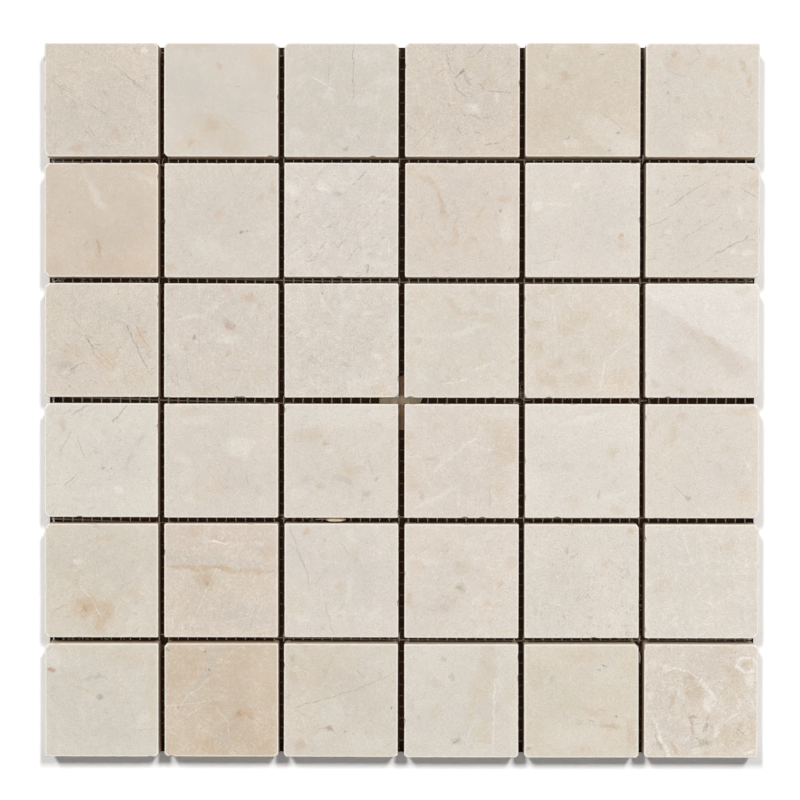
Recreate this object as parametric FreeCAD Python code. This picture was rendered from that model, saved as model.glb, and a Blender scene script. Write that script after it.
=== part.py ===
import FreeCAD, Part
import math
import os
import random

# A mosaic sheet of square sawn marble chips, bonded face up on a glass-fibre net.
# Millimetres. X runs across the sheet, Y up it and Z out of the polished face.
# The origin is under the middle of the sheet, on the level that the net rests on.

# Driving dimensions of the stone
chips_across = 6
chips_along = 6
chip_side = 48.0
joint_width = 2.8
stone_thickness = 10.0
face_arris = 0.35

# Upright corners of the chips. Where two chips meet at the rim of the sheet the
# corners are knocked back most, and the four corners of the sheet are nearly square.
sheet_corner_least = 0.3
sheet_corner_most = 0.5
rim_corner_least = 1.2
rim_corner_most = 1.9
inner_corner_least = 0.2
inner_corner_most = 0.6

# Inner corners that are chipped away more than the rest: row, column, and the
# corner's side along X and along Y
knocked_corner_least = 1.0
knocked_corner_most = 1.5
knocked_corners = {(1, 2, -1, -1), (2, 1, 1, 1), (6, 2, -1, 1), (5, 5, 1, 1), (6, 5, 1, 1)}

# How far a chip may lie from its true place and heading
lay_error = 0.12
turn_error = 0.12
lay_seed = 26

# Driving dimensions of the net: pairs of warp yarns along Y, one over and one
# under each weft yarn, which lock the net as in a leno weave. The wefts run downhill
# towards +X, and their ends stand above their middles.
net_inset = 1.0
yarn_thickness = 0.2
warp_width = 0.6
warp_pitch = 4.115
first_warp = 0.8
weft_width = 0.8
weft_pitch = 4.79
first_weft = 3.6
weft_skew = 0.63
weft_bow = 2.15
weft_runs = 4

# Driving dimensions of the adhesive
adhesive_thickness = 0.15
pad_inset = 2.4
pad_corner = 6.0
film_lap = 2.0
film_across = 19.0
film_up = 11.5
film_down = 13.0
bead_length = 9.7
bead_height = 2.0
bead_reach = 2.1
bead_slope = 0.7
bead_depth = 1.5
bead_shift = -2.5

# Worked out from the driving dimensions
pitch = chip_side + joint_width
sheet_width = chips_across * pitch - joint_width
sheet_length = chips_along * pitch - joint_width
net_width = sheet_width - 2 * net_inset
net_length = sheet_length - 2 * net_inset
weft_level = yarn_thickness
over_level = weft_level + yarn_thickness
adhesive_level = over_level + yarn_thickness
stone_level = adhesive_level + adhesive_thickness

UP = FreeCAD.Vector(0, 0, 1)
CENTRE = FreeCAD.Vector(0, 0, 0)


def export(node, shape):
    """Write one sub-part to its own STEP file."""
    shape.exportStep(f"parts/{node}.step")
    print(node, "volume", round(shape.Volume, 2), "solids", len(shape.Solids))


def prism(outline, height, level=0.0):
    """An upright prism on a flat outline of (x, y) points, with its base at a level."""
    points = [FreeCAD.Vector(x, y, level) for x, y in outline]
    return Part.Face(Part.makePolygon(points + points[:1])).extrude(UP * height)


def cut_corner_outline(width, length, cuts):
    """A rectangle with its corners cut off. cuts has an (along x, along y) pair for each
    corner, counter-clockwise from the one at +X +Y."""
    half_x = width / 2
    half_y = length / 2
    signs = [(1, 1), (-1, 1), (-1, -1), (1, -1)]
    outline = []
    for (sign_x, sign_y), (cut_x, cut_y) in zip(signs, cuts):
        on_side = (sign_x * half_x, sign_y * (half_y - cut_y))
        on_end = (sign_x * (half_x - cut_x), sign_y * half_y)
        outline += [on_side, on_end] if sign_x == sign_y else [on_end, on_side]
    return outline


def chip_place(row, column):
    """The middle of a chip's true place. Row 1 is at +Y and column 1 is at -X."""
    x = (column - (chips_across + 1) / 2) * pitch
    y = ((chips_along + 1) / 2 - row) * pitch
    return x, y


def corner_cuts(row, column, chance):
    """How much of each upright corner of a chip is gone, by where the corner lies."""
    at_side = {1: column == chips_across, -1: column == 1}
    at_end = {1: row == 1, -1: row == chips_along}
    cuts = []
    for sign_x, sign_y in [(1, 1), (-1, 1), (-1, -1), (1, -1)]:
        if at_side[sign_x] and at_end[sign_y]:
            least, most = sheet_corner_least, sheet_corner_most
        elif at_side[sign_x] or at_end[sign_y]:
            least, most = rim_corner_least, rim_corner_most
        elif (row, column, sign_x, sign_y) in knocked_corners:
            least, most = knocked_corner_least, knocked_corner_most
        else:
            least, most = inner_corner_least, inner_corner_most
        cuts.append((chance.uniform(least, most), chance.uniform(least, most)))
    return cuts


def stone_chip(cuts):
    """A sawn chip with its upright corners knocked back and its face edges ground."""
    blank = Part.makeBox(chip_side, chip_side, stone_thickness)
    blank.translate(FreeCAD.Vector(-chip_side / 2, -chip_side / 2, 0))
    face_edges = [e for e in blank.Edges if e.BoundBox.ZMin > stone_thickness / 2]
    blank = blank.makeChamfer(face_arris, face_edges)
    outline = cut_corner_outline(chip_side, chip_side, cuts)
    return blank.common(prism(outline, stone_thickness))


def laid_chip(row, column, chance):
    """A chip in its place on the adhesive, a little off line as a hand or jig leaves it."""
    chip = stone_chip(corner_cuts(row, column, chance))
    chip.rotate(CENTRE, UP, chance.uniform(-turn_error, turn_error))
    x, y = chip_place(row, column)
    x += chance.uniform(-lay_error, lay_error)
    y += chance.uniform(-lay_error, lay_error)
    chip.translate(FreeCAD.Vector(x, y, stone_level))
    return chip


def yarn_section(width):
    """A flattened yarn's section: a flat top and bottom, and flanks that slope."""
    half = width / 2
    flat = half - yarn_thickness / 2
    middle = yarn_thickness / 2
    return [
        (-half, middle),
        (-flat, 0),
        (flat, 0),
        (half, middle),
        (flat, yarn_thickness),
        (-flat, yarn_thickness),
    ]


def places(first, last, step):
    """Places at an even step from the first one, as many as fit before the last."""
    return [first + i * step for i in range(int((last - first) / step) + 1)]


def warp_layer(level):
    """One straight yarn of every warp pair, all at one level."""
    yarns = []
    edge = net_width / 2
    for x in places(first_warp - edge, edge - warp_width / 2, warp_pitch):
        points = [
            FreeCAD.Vector(x + across, -net_length / 2, level + up)
            for across, up in yarn_section(warp_width)
        ]
        face = Part.Face(Part.makePolygon(points + points[:1]))
        yarns.append(face.extrude(FreeCAD.Vector(0, net_length, 0)))
    return Part.makeCompound(yarns)


def weft_rise(x):
    """How far a weft yarn at this X stands above its place at the middle."""
    bow = weft_bow * (2 * x / net_width) ** 2
    return bow - x * math.tan(math.radians(weft_skew))


def weft_layer(level):
    """The bowed weft yarns, each one made of straight runs joined end to end."""
    run = net_width / weft_runs
    starts = [i * run - net_width / 2 for i in range(weft_runs)]
    edge = net_length / 2
    yarns = []
    for down in places(first_weft - edge, edge - weft_width / 2, weft_pitch):
        runs = []
        for x in starts:
            points = [
                FreeCAD.Vector(x, across + weft_rise(x) - down, level + up)
                for across, up in yarn_section(weft_width)
            ]
            face = Part.Face(Part.makePolygon(points + points[:1]))
            rise = weft_rise(x + run) - weft_rise(x)
            runs.append(face.extrude(FreeCAD.Vector(run, rise, 0)))
        yarns.append(runs[0].fuse(runs[1:]))
    return Part.makeCompound(yarns)


def adhesive_pads():
    """The adhesive under every chip, held back from the chip's edges."""
    side = chip_side - 2 * pad_inset
    outline = cut_corner_outline(side, side, [(pad_corner, pad_corner)] * 4)
    pads = []
    for row in range(1, chips_along + 1):
        for column in range(1, chips_across + 1):
            pad = prism(outline, adhesive_thickness, adhesive_level)
            x, y = chip_place(row, column)
            pad.translate(FreeCAD.Vector(x, y, 0))
            pads.append(pad)
    return Part.makeCompound(pads)


def adhesive_film():
    """The film that crosses the joints at the middle of the sheet. It laps under the
    edges of the four chips there."""
    arm = joint_width + 2 * film_lap
    across = Part.makeBox(film_across, arm, adhesive_thickness)
    across.translate(FreeCAD.Vector(-film_across / 2, -arm / 2, adhesive_level))
    along = Part.makeBox(arm, film_up + film_down, adhesive_thickness)
    along.translate(FreeCAD.Vector(-arm / 2, -film_down, adhesive_level))
    return across.fuse(along).removeSplitter()


def adhesive_bead(chips, row, column):
    """A drop of set adhesive on the -Y side of a chip, near its face, with sloped sides.
    It is trimmed by the chip, so that it sits flush on the stone."""
    root = lay_error + chip_side / 2 * math.sin(math.radians(turn_error))
    bead = Part.makeWedge(
        0, 0, 0, bead_slope, bead_slope,
        bead_length, bead_reach + root, bead_height,
        bead_height - bead_slope, bead_length - bead_slope,
    )
    bead.rotate(CENTRE, UP, 180)
    x, y = chip_place(row, column)
    x += bead_shift + bead_length / 2
    y += root - chip_side / 2
    z = stone_level + stone_thickness - bead_depth - bead_height
    bead.translate(FreeCAD.Vector(x, y, z))
    return bead.cut(chips[row, column])


os.makedirs("parts", exist_ok=True)

chance = random.Random(lay_seed)
chips = {}
for row in range(1, chips_along + 1):
    for column in range(1, chips_across + 1):
        chips[row, column] = laid_chip(row, column, chance)
        export(f"tile_r{row}_c{column}", chips[row, column])

export("net_warp_under", warp_layer(0.0))
export("net_weft", weft_layer(weft_level))
export("net_warp_over", warp_layer(over_level))

export("adhesive_pads", adhesive_pads())
export("adhesive_film", adhesive_film())
export("adhesive_bead", adhesive_bead(chips, row=4, column=3))
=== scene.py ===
# %% [markdown]
# # A mosaic sheet of marble chips on a glass-fibre net
# The real sheet is 36 sawn squares of a beige marble, laid face up on a woven net and held there
# by thin adhesive. The shapes, sizes and places come from a packed model, which is loaded first
# and never moved. What this lesson adds is the look of each piece: worn edges, woven yarns,
# squeezed adhesive, and a finish for every surface.

# %% Load the frame
import math
import random

import bmesh
import bpy
from mathutils import Matrix, Vector, noise


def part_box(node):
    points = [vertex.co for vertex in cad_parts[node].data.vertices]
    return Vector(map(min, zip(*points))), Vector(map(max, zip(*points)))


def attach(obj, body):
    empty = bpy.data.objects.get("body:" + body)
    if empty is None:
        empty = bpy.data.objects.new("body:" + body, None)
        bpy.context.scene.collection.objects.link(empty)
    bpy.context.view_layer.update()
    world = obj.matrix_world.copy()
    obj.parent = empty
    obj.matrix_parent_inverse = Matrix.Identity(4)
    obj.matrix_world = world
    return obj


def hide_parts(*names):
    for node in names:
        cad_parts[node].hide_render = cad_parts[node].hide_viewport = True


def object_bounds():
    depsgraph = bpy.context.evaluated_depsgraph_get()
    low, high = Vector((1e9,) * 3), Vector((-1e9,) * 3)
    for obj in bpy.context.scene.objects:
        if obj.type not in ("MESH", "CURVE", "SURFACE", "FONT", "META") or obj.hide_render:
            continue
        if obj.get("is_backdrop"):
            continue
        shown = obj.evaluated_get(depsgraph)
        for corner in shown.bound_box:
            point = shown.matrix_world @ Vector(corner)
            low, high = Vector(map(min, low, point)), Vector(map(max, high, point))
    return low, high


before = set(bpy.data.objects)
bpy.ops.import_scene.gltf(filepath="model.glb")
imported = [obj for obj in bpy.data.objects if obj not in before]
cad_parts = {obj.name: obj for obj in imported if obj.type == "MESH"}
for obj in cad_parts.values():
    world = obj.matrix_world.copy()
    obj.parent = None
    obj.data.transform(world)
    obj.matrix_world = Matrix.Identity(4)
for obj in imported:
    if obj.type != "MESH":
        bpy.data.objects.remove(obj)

cad_low, cad_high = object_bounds()
MM = 0.001
scene = bpy.context.scene
sheet_half = Vector(((cad_high.x - cad_low.x) / 2, (cad_high.y - cad_low.y) / 2))
print("nodes", len(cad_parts), "sheet", [round(side / MM, 2) for side in cad_high - cad_low])

# %% [markdown]
# ## The camera
# The sheet was photographed lying flat, from above, about three quarters of a metre away. The
# joints draw together a little towards the bottom of the picture, and the chips' sides show on
# the far side of each joint, which gives the camera's place and its tilt of about half a degree.

# %% Camera
camera = bpy.data.objects.new("camera", bpy.data.cameras.new("camera"))
camera.location = (3.35 * MM, 8.0 * MM, 761.9 * MM)
camera.rotation_euler = [math.radians(turn) for turn in (-0.587, 0.304, 0.075)]
camera.data.lens = 80
camera.data.sensor_width = 36
camera.data.clip_start = 0.01
scene.collection.objects.link(camera)
scene.camera = camera
scene.view_settings.view_transform = "Standard"
print("camera height", round(camera.location.z, 3))

# %% [markdown]
# ## Shader maths
# A finish is a network of nodes, and most of it is plain arithmetic on masks from 0 to 1. Joining
# those nodes by hand hides the arithmetic. Here a value on a wire is a small object with its
# operators overloaded, so that a mask can be written as `1 - worn * 0.5`. Every other node is
# added by one method, which takes its type, its settings and what goes into its sockets.

# %% Wires and nodes
class Wire:
    """A value on its way between shader nodes. Arithmetic on it adds Math nodes."""

    def __init__(self, nodes, socket):
        self.nodes = nodes
        self.socket = socket

    def maths(self, operation, first, second=0.0):
        return self.nodes.add("ShaderNodeMath", {"operation": operation}, {0: first, 1: second})

    def __add__(self, other):
        return self.maths("ADD", self, other)

    def __sub__(self, other):
        return self.maths("SUBTRACT", self, other)

    def __rsub__(self, other):
        return self.maths("SUBTRACT", other, self)

    def __mul__(self, other):
        return self.maths("MULTIPLY", self, other)

    def __abs__(self):
        return self.maths("ABSOLUTE", self)

    __radd__ = __add__
    __rmul__ = __mul__


print("wires take +, -, * and abs")

# %% [markdown]
# Every other kind of node is added by one method, which takes its type, its settings and what
# goes into its sockets. The few steps that the finishes share have short names of their own:
# noise of a size in millimetres, a soft passage from one value to another, a mix of two colours.

# %% A tree of nodes
class Nodes:
    """A node tree, with the few kinds of step that the finishes are made of."""

    def __init__(self, tree):
        self.tree = tree

    def add(self, kind, settings, sockets, output=0):
        """Adds a node: its settings first, and then the values or links of its sockets."""
        node = self.tree.nodes.new(kind)
        for name, value in settings.items():
            setattr(node, name, value)
        for name, value in sockets.items():
            self.feed(node.inputs[name], value)
        return Wire(self, node.outputs[output])

    def feed(self, socket, value):
        if isinstance(value, Wire):
            self.tree.links.new(value.socket, socket)
        elif socket.type == "VECTOR":
            socket.default_value = value[:3]
        else:
            socket.default_value = value

    def place(self, middle=(0, 0, 0)):
        """Where the surface is, in millimetres from a middle that is given in metres."""
        spot = self.add("ShaderNodeTexCoord", {}, {}, "Object")
        back = tuple(-part / MM for part in middle)
        sockets = {"Vector": spot, "Location": back, "Scale": (1 / MM,) * 3}
        return self.add("ShaderNodeMapping", {}, sockets)

    def mapped(self, place, at=(0, 0, 0), turn=0.0, size=(1, 1, 1)):
        """The place as it reads in a box that stands at a point, turned and sized."""
        sockets = {"Vector": place, "Location": at, "Rotation": (0, 0, math.radians(turn)), "Scale": size}
        return self.add("ShaderNodeMapping", {"vector_type": "TEXTURE"}, sockets)

    def noise(self, place, size, seed, detail=3.0, roughness=0.5, output="Fac"):
        """Noise around 0.5, with features of about a size in millimetres. Each seed is a slice of it."""
        settings = {"noise_dimensions": "4D"}
        sockets = {"Vector": place, "W": seed * size, "Scale": 1 / size}
        sockets.update({"Detail": detail, "Roughness": roughness})
        return self.add("ShaderNodeTexNoise", settings, sockets, output)

    def ease(self, value, start, end, most=1.0):
        """0 at the start and most at the end, with a soft passage between them."""
        settings = {"interpolation_type": "SMOOTHSTEP"}
        sockets = {"Value": value, "From Min": start, "From Max": end, "To Min": 0.0, "To Max": most}
        if start > end:
            sockets.update({"From Min": end, "From Max": start, "To Min": most, "To Max": 0.0})
        return self.add("ShaderNodeMapRange", settings, sockets)

    def mix(self, share, first, second):
        """The first colour with a share of the second over it."""
        return self.add("ShaderNodeMix", {"data_type": "RGBA"}, {0: share, 6: first, 7: second}, 2)

    def vector(self, operation, first, second):
        return self.add("ShaderNodeVectorMath", {"operation": operation}, {0: first, 1: second})

    def scaled(self, colour, factor):
        """A colour made lighter or darker."""
        return self.add("ShaderNodeVectorMath", {"operation": "SCALE"}, {0: colour, "Scale": factor})

    def length(self, vector):
        return self.add("ShaderNodeVectorMath", {"operation": "LENGTH"}, {0: vector}, "Value")

    def parts(self, vector):
        """The X, Y and Z of a vector."""
        split = self.add("ShaderNodeSeparateXYZ", {}, {0: vector})
        outputs = split.socket.node.outputs
        return [Wire(self, outputs[part]) for part in range(3)]


print("steps", [name for name in vars(Nodes) if not name.startswith("_")])

# %% [markdown]
# A colour is easiest to write down as it looks on a screen, but light adds up on a straight
# scale, so each colour is turned into light once. Every material starts in the same way, so one
# function makes it and hands back its nodes and its shader.

# %% Colours and new finishes
def tone(red, green, blue):
    """A colour as it looks on a screen, from 0 to 255, turned into the light it stands for."""
    parts = []
    for value in (red, green, blue):
        share = value / 255
        parts.append(share / 12.92 if share <= 0.04045 else ((share + 0.055) / 1.055) ** 2.4)
    return (*parts, 1.0)


def new_finish(name, roughness):
    """A material with its nodes ready to use: the material, its nodes and its shader."""
    material = bpy.data.materials.new(name)
    material.use_nodes = True
    shader = material.node_tree.nodes["Principled BSDF"]
    shader.inputs["Roughness"].default_value = roughness
    return material, Nodes(material.node_tree), shader


print("a middle grey as light", round(tone(128, 128, 128)[0], 3))


# %% [markdown]
# ## Floor, light and background
# Polished stone shows its colour best in soft light. Two softboxes hang beyond the far edge of
# the sheet, one to the left and one to the right, and throw short shadows: a full one at the near
# edge and a half one at each side. A small softbox straight above reaches down into the joints,
# so that the net shows, and an even sky fills the rest. Together they are kept at a plain level:
# a white surface that faces up reads as white.

# %% Lamp and sky
sky_level = 0.05
lamps = {
    "softbox_left": ((-5.4, 7.7, 13.5), (1.8, 3.5), -29.7, 1335.0),
    "softbox_right": ((5.4, 7.7, 13.5), (1.8, 3.5), -29.7, 1450.0),
    "softbox_above": ((0.0, 0.0, 13.5), (4.0, 4.0), 0.0, 255.0),
}
for name, (place, size, tilt, energy) in lamps.items():
    lamp = bpy.data.objects.new(name, bpy.data.lights.new(name, "AREA"))
    lamp.data.shape = "RECTANGLE"
    lamp.data.size, lamp.data.size_y = size
    lamp.data.energy = energy
    lamp.location = place
    lamp.rotation_euler.x = math.radians(tilt)
    lamp.visible_glossy = False
    scene.collection.objects.link(lamp)

world = bpy.data.worlds.new("sky")
world.use_nodes = True
scene.world = world
sky = Nodes(world.node_tree)
path = sky.add("ShaderNodeLightPath", {}, {}, "Is Camera Ray")
rays = path.socket.node.outputs
seen = path + Wire(sky, rays["Is Glossy Ray"]) + Wire(sky, rays["Is Transmission Ray"])
background = world.node_tree.nodes["Background"]
background.inputs["Color"].default_value = (1, 1, 1, 1)
sky.feed(background.inputs["Strength"], sky_level + seen * (1 - sky_level))
print("lamps", list(lamps))

# %% [markdown]
# The floor is pale, and the camera sees it as white wherever no shadow falls. Only the ground
# under the sheet itself is painted dark, as painted shade, so that the joints look nearly black
# behind the net. The painted shade is darkest near the rim, where light falls in at the ends of
# the joints, and it ends a little inside the sheet's outline, so that none of it shows outside.

# %% Floor
ground_inset = 0.2 * MM
floor_shape = bmesh.new()
bmesh.ops.create_grid(floor_shape, x_segments=1, y_segments=1, size=4.0)
bmesh.ops.translate(floor_shape, verts=floor_shape.verts, vec=(0, 0, -0.02 * MM))
floor_mesh = bpy.data.meshes.new("floor")
floor_shape.to_mesh(floor_mesh)
floor_shape.free()
floor = bpy.data.objects.new("floor", floor_mesh)
scene.collection.objects.link(floor)
floor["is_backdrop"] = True

material, nodes, shader = new_finish("pale_floor", 0.9)
beside, along, _ = nodes.parts(nodes.place())
inner = [(side - ground_inset) / MM for side in sheet_half]
under_sheet = nodes.ease(abs(beside), inner[0] + 0.1, inner[0] - 0.1) * nodes.ease(
    abs(along), inner[1] + 0.1, inner[1] - 0.1
)
covered = nodes.ease(abs(beside), inner[0] - 1, inner[0] - 9) * nodes.ease(
    abs(along), inner[1] - 1, inner[1] - 9
)
# Painted shade: the ground under the sheet is painted dark brown, darkest near the rim.
painted_shade_ground = nodes.mix(covered, tone(40, 29, 22), tone(90, 64, 47))
nodes.feed(shader.inputs["Base Color"], nodes.mix(under_sheet, tone(232, 232, 232), painted_shade_ground))
shader.inputs["Specular IOR Level"].default_value = 0.1
path = nodes.add("ShaderNodeLightPath", {}, {}, "Is Camera Ray")
rays = path.socket.node.outputs
seen = path + Wire(nodes, rays["Is Glossy Ray"]) + Wire(nodes, rays["Is Transmission Ray"])
bright = nodes.add("ShaderNodeBsdfDiffuse", {}, {"Color": (1.05, 1.05, 1.05, 1)})
blend = nodes.add("ShaderNodeMixShader", {}, {0: seen * (1 - under_sheet)})
surface = blend.socket.node
material.node_tree.links.new(shader.outputs["BSDF"], surface.inputs[1])
nodes.feed(surface.inputs[2], bright)
nodes.feed(material.node_tree.nodes["Material Output"].inputs["Surface"], blend)
floor_mesh.materials.append(material)
print("floor made, the ground dark under", [round(2 * side) for side in inner], "mm")

# %% [markdown]
# ## What the marble is made of
# The stone is a fine-grained beige limestone marble. Close to, its colour drifts over a few
# centimetres between bone and sand, with a mottle of a few millimetres, a fine grain, hairlines
# of brown clay and threads of white calcite. All of that is noise, and each chip draws its own
# because it was cut from another part of the block. Noise alone gives 36 chips of one kind,
# though, and a buyer knows a real sheet by its odd ones: the tan chip, the one with a crack
# across it, the one that is half white. Those are drawn on as marks: clouds, which are soft
# ovals with a ragged edge, and cracks, which are thin lines with a wobble.

# %% The stone's colours
BONE = tone(219, 210, 199)
PALE = tone(226, 219, 209)
WARM = tone(210, 196, 179)
FROST = tone(226, 222, 214)
CHALK = tone(238, 232, 223)
SLATE = tone(192, 188, 182)
TAN = tone(206, 190, 166)
HONEY = tone(211, 198, 172)
PEACH = tone(212, 192, 169)
ROSY = tone(211, 196, 185)
OCHRE = tone(194, 162, 124)
RUST = tone(166, 118, 88)
UMBER = tone(152, 132, 112)
SOOT = tone(92, 80, 70)
MOSS = tone(182, 174, 154)
BLUSH = tone(226, 206, 198)
OLIVE = tone(207, 204, 182)


def cloud(x, y, across, up, colour, amount=0.5, turn=0, edge=0.6):
    """A soft oval on a chip's face, in millimetres from its middle."""
    size = (across, up, 8)
    return dict(at=(x, y, 0), size=size, turn=turn, colour=colour, amount=amount, edge=edge, thin=False)


def crack(x, y, end_x, end_y, colour=UMBER, amount=0.6, width=0.28):
    """A line from one point of a chip's face to another, drawn as an oval that is very thin."""
    size = (math.hypot(end_x - x, end_y - y) / 2, 0.75 * width, 8)
    turn = math.degrees(math.atan2(end_y - y, end_x - x))
    middle = ((x + end_x) / 2, (y + end_y) / 2, 0)
    strength = amount * (0.95 if colour == CHALK else 0.5)
    return dict(at=middle, size=size, turn=turn, colour=colour, amount=strength, edge=0.6, thin=True)


print("bone as light", [round(part, 3) for part in BONE[:3]])

# %% [markdown]
# ## The marble finish
# The layers are put on from the largest to the smallest. Masks come first and colour follows
# them. The place is bent by noise before a mark is looked up, so that an oval turns ragged and a
# straight line wanders. The sawn sides and back are duller and rougher than the face, and the
# ground edge is lighter where the stone is bruised, with a painted highlight over it: the mesh of a
# chip says where, in an attribute named worn. The sides inside the sheet get painted shade that
# deepens towards the foot of each joint, and each face is painted a little lighter to its right.

# %% Marble
def ridges(nodes, place, size, seed, width):
    """Thin meandering lines: where noise passes through its middle value."""
    waves = nodes.noise(place, size, seed, 5.0, 0.62)
    return nodes.ease(abs(waves - 0.5), width, 0.0)


def marble(name, middle, seed, base=BONE, warmth=0.3, chalk=0.3, lines=0.25, heading=30, threads=0.3,
           specks=0.15, grit=1.0, marks=()):
    """A chip's own finish. The numbers from 0 to 1 say how much it has of each kind of marking."""
    material, nodes, shader = new_finish(name, 0.5)
    place = nodes.place(middle)
    wander = nodes.vector("SUBTRACT", nodes.noise(place, 6.0, seed + 2, 5.0, 0.65, "Color"), (0.5,) * 3)
    ragged = nodes.vector("ADD", place, nodes.scaled(wander, 9.0))
    shaky = nodes.vector("ADD", place, nodes.scaled(wander, 4.0))
    drift = nodes.noise(place, 24.0, seed + 4, 2.0)
    patches = nodes.noise(ragged, 11.0, seed + 6, 3.0)
    mottle = nodes.noise(place, 3.2, seed + 8, 6.0, 0.68)
    grain = nodes.noise(place, 0.7, seed + 10, 3.0, 0.75)
    curls = ridges(nodes, ragged, 3.4, seed + 19, 0.03) * nodes.ease(mottle, 0.44, 0.56)
    hue = nodes.noise(shaky, 3.0, seed + 13, 4.0, 0.62)

    colour = nodes.mix(nodes.ease(drift, 0.42, 0.62) * (0.85 * warmth), base, WARM)
    colour = nodes.mix(nodes.ease(patches, 0.55, 0.72) * warmth, colour, TAN)
    colour = nodes.mix(nodes.ease(patches, 0.46, 0.32) * chalk, colour, FROST)

    colour = nodes.mix(nodes.ease(hue, 0.5, 0.68) * 0.35, colour, BLUSH)
    colour = nodes.mix(nodes.ease(hue, 0.5, 0.32) * 0.35, colour, OLIVE)

    patchy = 0.1 + 1.05 * mottle
    uneven = mottle - 0.5
    gapped = nodes.ease(nodes.noise(place, 1.7, seed + 18, 3.0), 0.3, 0.52)
    for mark in marks:
        inside = nodes.mapped(shaky if mark["thin"] else ragged, mark["at"], mark["turn"], mark["size"])
        if mark["thin"]:
            inside = nodes.vector("MULTIPLY", inside, inside)
        away = nodes.length(inside) + uneven * (0.24 + 0.93 * mark["edge"])
        mask = nodes.ease(away, 1 + mark["edge"], 1 - mark["edge"], mark["amount"])
        colour = nodes.mix(mask * (gapped if mark["thin"] else patchy), colour, mark["colour"])

    stretched = nodes.mapped(shaky, turn=heading, size=(3.0, 1, 1))
    broken = nodes.ease(nodes.noise(place, 4.5, seed + 12, 2.0), 0.5, 0.64)
    hair = ridges(nodes, stretched, 6.5, seed + 14, 0.012) * broken
    colour = nodes.mix(hair * lines, colour, UMBER)
    pale_hair = ridges(nodes, ragged, 8.0, seed + 16, 0.014) * (1 - broken)
    colour = nodes.mix(pale_hair * threads, colour, CHALK)
    scattered = nodes.vector("ADD", shaky, (3.7 * seed, 5.1 * seed, 0))
    dots = nodes.add("ShaderNodeTexVoronoi", {}, {"Vector": scattered, "Scale": 0.32}, "Distance")
    dotted = nodes.ease(dots, 0.16, 0.06) * nodes.ease(mottle, 0.52, 0.6)
    colour = nodes.mix(dotted * specks, colour, UMBER)
    colour = nodes.mix(curls * (0.5 * grit - 0.15), colour, MOSS)
    lace = ridges(nodes, shaky, 2.3, seed + 21, 0.035) * nodes.ease(patches, 0.42, 0.6)
    colour = nodes.mix(lace * (0.2 + 0.3 * threads), colour, CHALK)
    shade = 1 + (mottle - 0.5) * (0.2 * grit) + (grain - 0.5) * (0.6 * grit) + (drift - 0.5) * 0.2
    # Each face is made a little lighter towards its rim, and painted light makes it lighter towards its
    # right side.
    shade = shade + nodes.ease(nodes.length(place), 6, 34, 0.035) + nodes.parts(place)[0] * 0.0004
    colour = nodes.scaled(colour, shade)

    _, towards_top, facing = nodes.parts(nodes.add("ShaderNodeNewGeometry", {}, {}, "Normal"))
    sawn = nodes.ease(facing, 0.9, 0.5)
    worn = nodes.add("ShaderNodeAttribute", {"attribute_name": "worn"}, {}, "Fac")
    bruise_and_highlight = nodes.ease(worn, 0.35, 0.9)
    colour = nodes.mix(sawn * (1 - bruise_and_highlight) * 0.55, colour, tone(200, 178, 150))
    beside, along, height = nodes.parts(nodes.place())
    # Painted shade: the sides inside the sheet are darkened and browned towards the foot of each joint,
    # less on the sides that face up or down the sheet.
    in_joint = nodes.ease(abs(beside), 150.6, 150.2) * nodes.ease(abs(along), 150.6, 150.2)
    painted_joint_shade = sawn * in_joint * (1 - nodes.ease(abs(towards_top), 0.5, 0.9, 0.85))
    colour = nodes.mix(painted_joint_shade * nodes.ease(height, 10.3, 7.0), colour, tone(178, 152, 126))
    colour = nodes.mix(painted_joint_shade * nodes.ease(height, 8.0, 1.5), colour, tone(122, 94, 72))
    # The bruised edge is paler, and a painted highlight lightens it further, less where it faces the far
    # edge of the sheet.
    bright = bruise_and_highlight * (0.85 - nodes.ease(towards_top, 0.15, 0.6, 0.6))
    colour = nodes.mix(bright, colour, tone(252, 246, 236))
    nodes.feed(shader.inputs["Base Color"], colour)

    blade = nodes.noise(nodes.mapped(place, size=(1, 1, 9)), 0.5, seed + 18, 2.0)
    nodes.feed(shader.inputs["Roughness"], 0.44 + 0.1 * mottle + 0.3 * sawn)
    height = grain * 0.35 + blade * sawn * 1.5
    bump = nodes.add("ShaderNodeBump", {}, {"Strength": 0.5, "Distance": 0.03 * MM, "Height": height})
    nodes.feed(shader.inputs["Normal"], bump)
    return material


print("the marble finish is ready")

# %% [markdown]
# ## The chips of the top row
# The first chip is crossed by fine brown hairlines, the second is the smoothest with a tan cloud
# at its foot, and one dark crack runs down the third. A picture could be laid on each chip, but
# it blurs close to and can't be changed, so each mark is written as what it is: a place on the
# face, a size, a colour and a strength.

# %% First row, first three chips
STONES = {}


def count_marks(row):
    """Prints how many marks each chip of a row has."""
    print({spot: len(stone["marks"]) for spot, stone in STONES.items() if spot.startswith(row)})


STONES["r1_c1"] = dict(
    base=tone(209, 199, 188), warmth=0.35, lines=0.5, heading=-42, grit=1.3,
    marks=[
        crack(2, 17.5, 19.5, 3, UMBER, 0.5, 0.3), crack(10.3, 10.7, 15.4, 5.5, RUST, 0.9, 0.45),
        crack(-9, 22.8, -3, 17.5), crack(-19.2, 6.6, -12, 2), crack(-17.5, 7.4, -11, 2.6),
        crack(-4.7, -1.4, 2.6, -7, UMBER, 0.8, 0.35), crack(-7, -11.7, -3.2, -17),
        crack(-5.2, -11.4, -1.6, -16.6), crack(-19, 14.4, -5.6, 16.4, SLATE, 0.9, 0.4),
        cloud(6.4, -15, 2, 2, OCHRE, 0.45), cloud(-10.3, -21, 3, 1.8, OCHRE, 0.5),
        cloud(-12, -5, 4, 4, MOSS, 0.25), cloud(18.8, 20.6, 1.5, 1.2, CHALK, 0.9),
    ],
)
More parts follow.
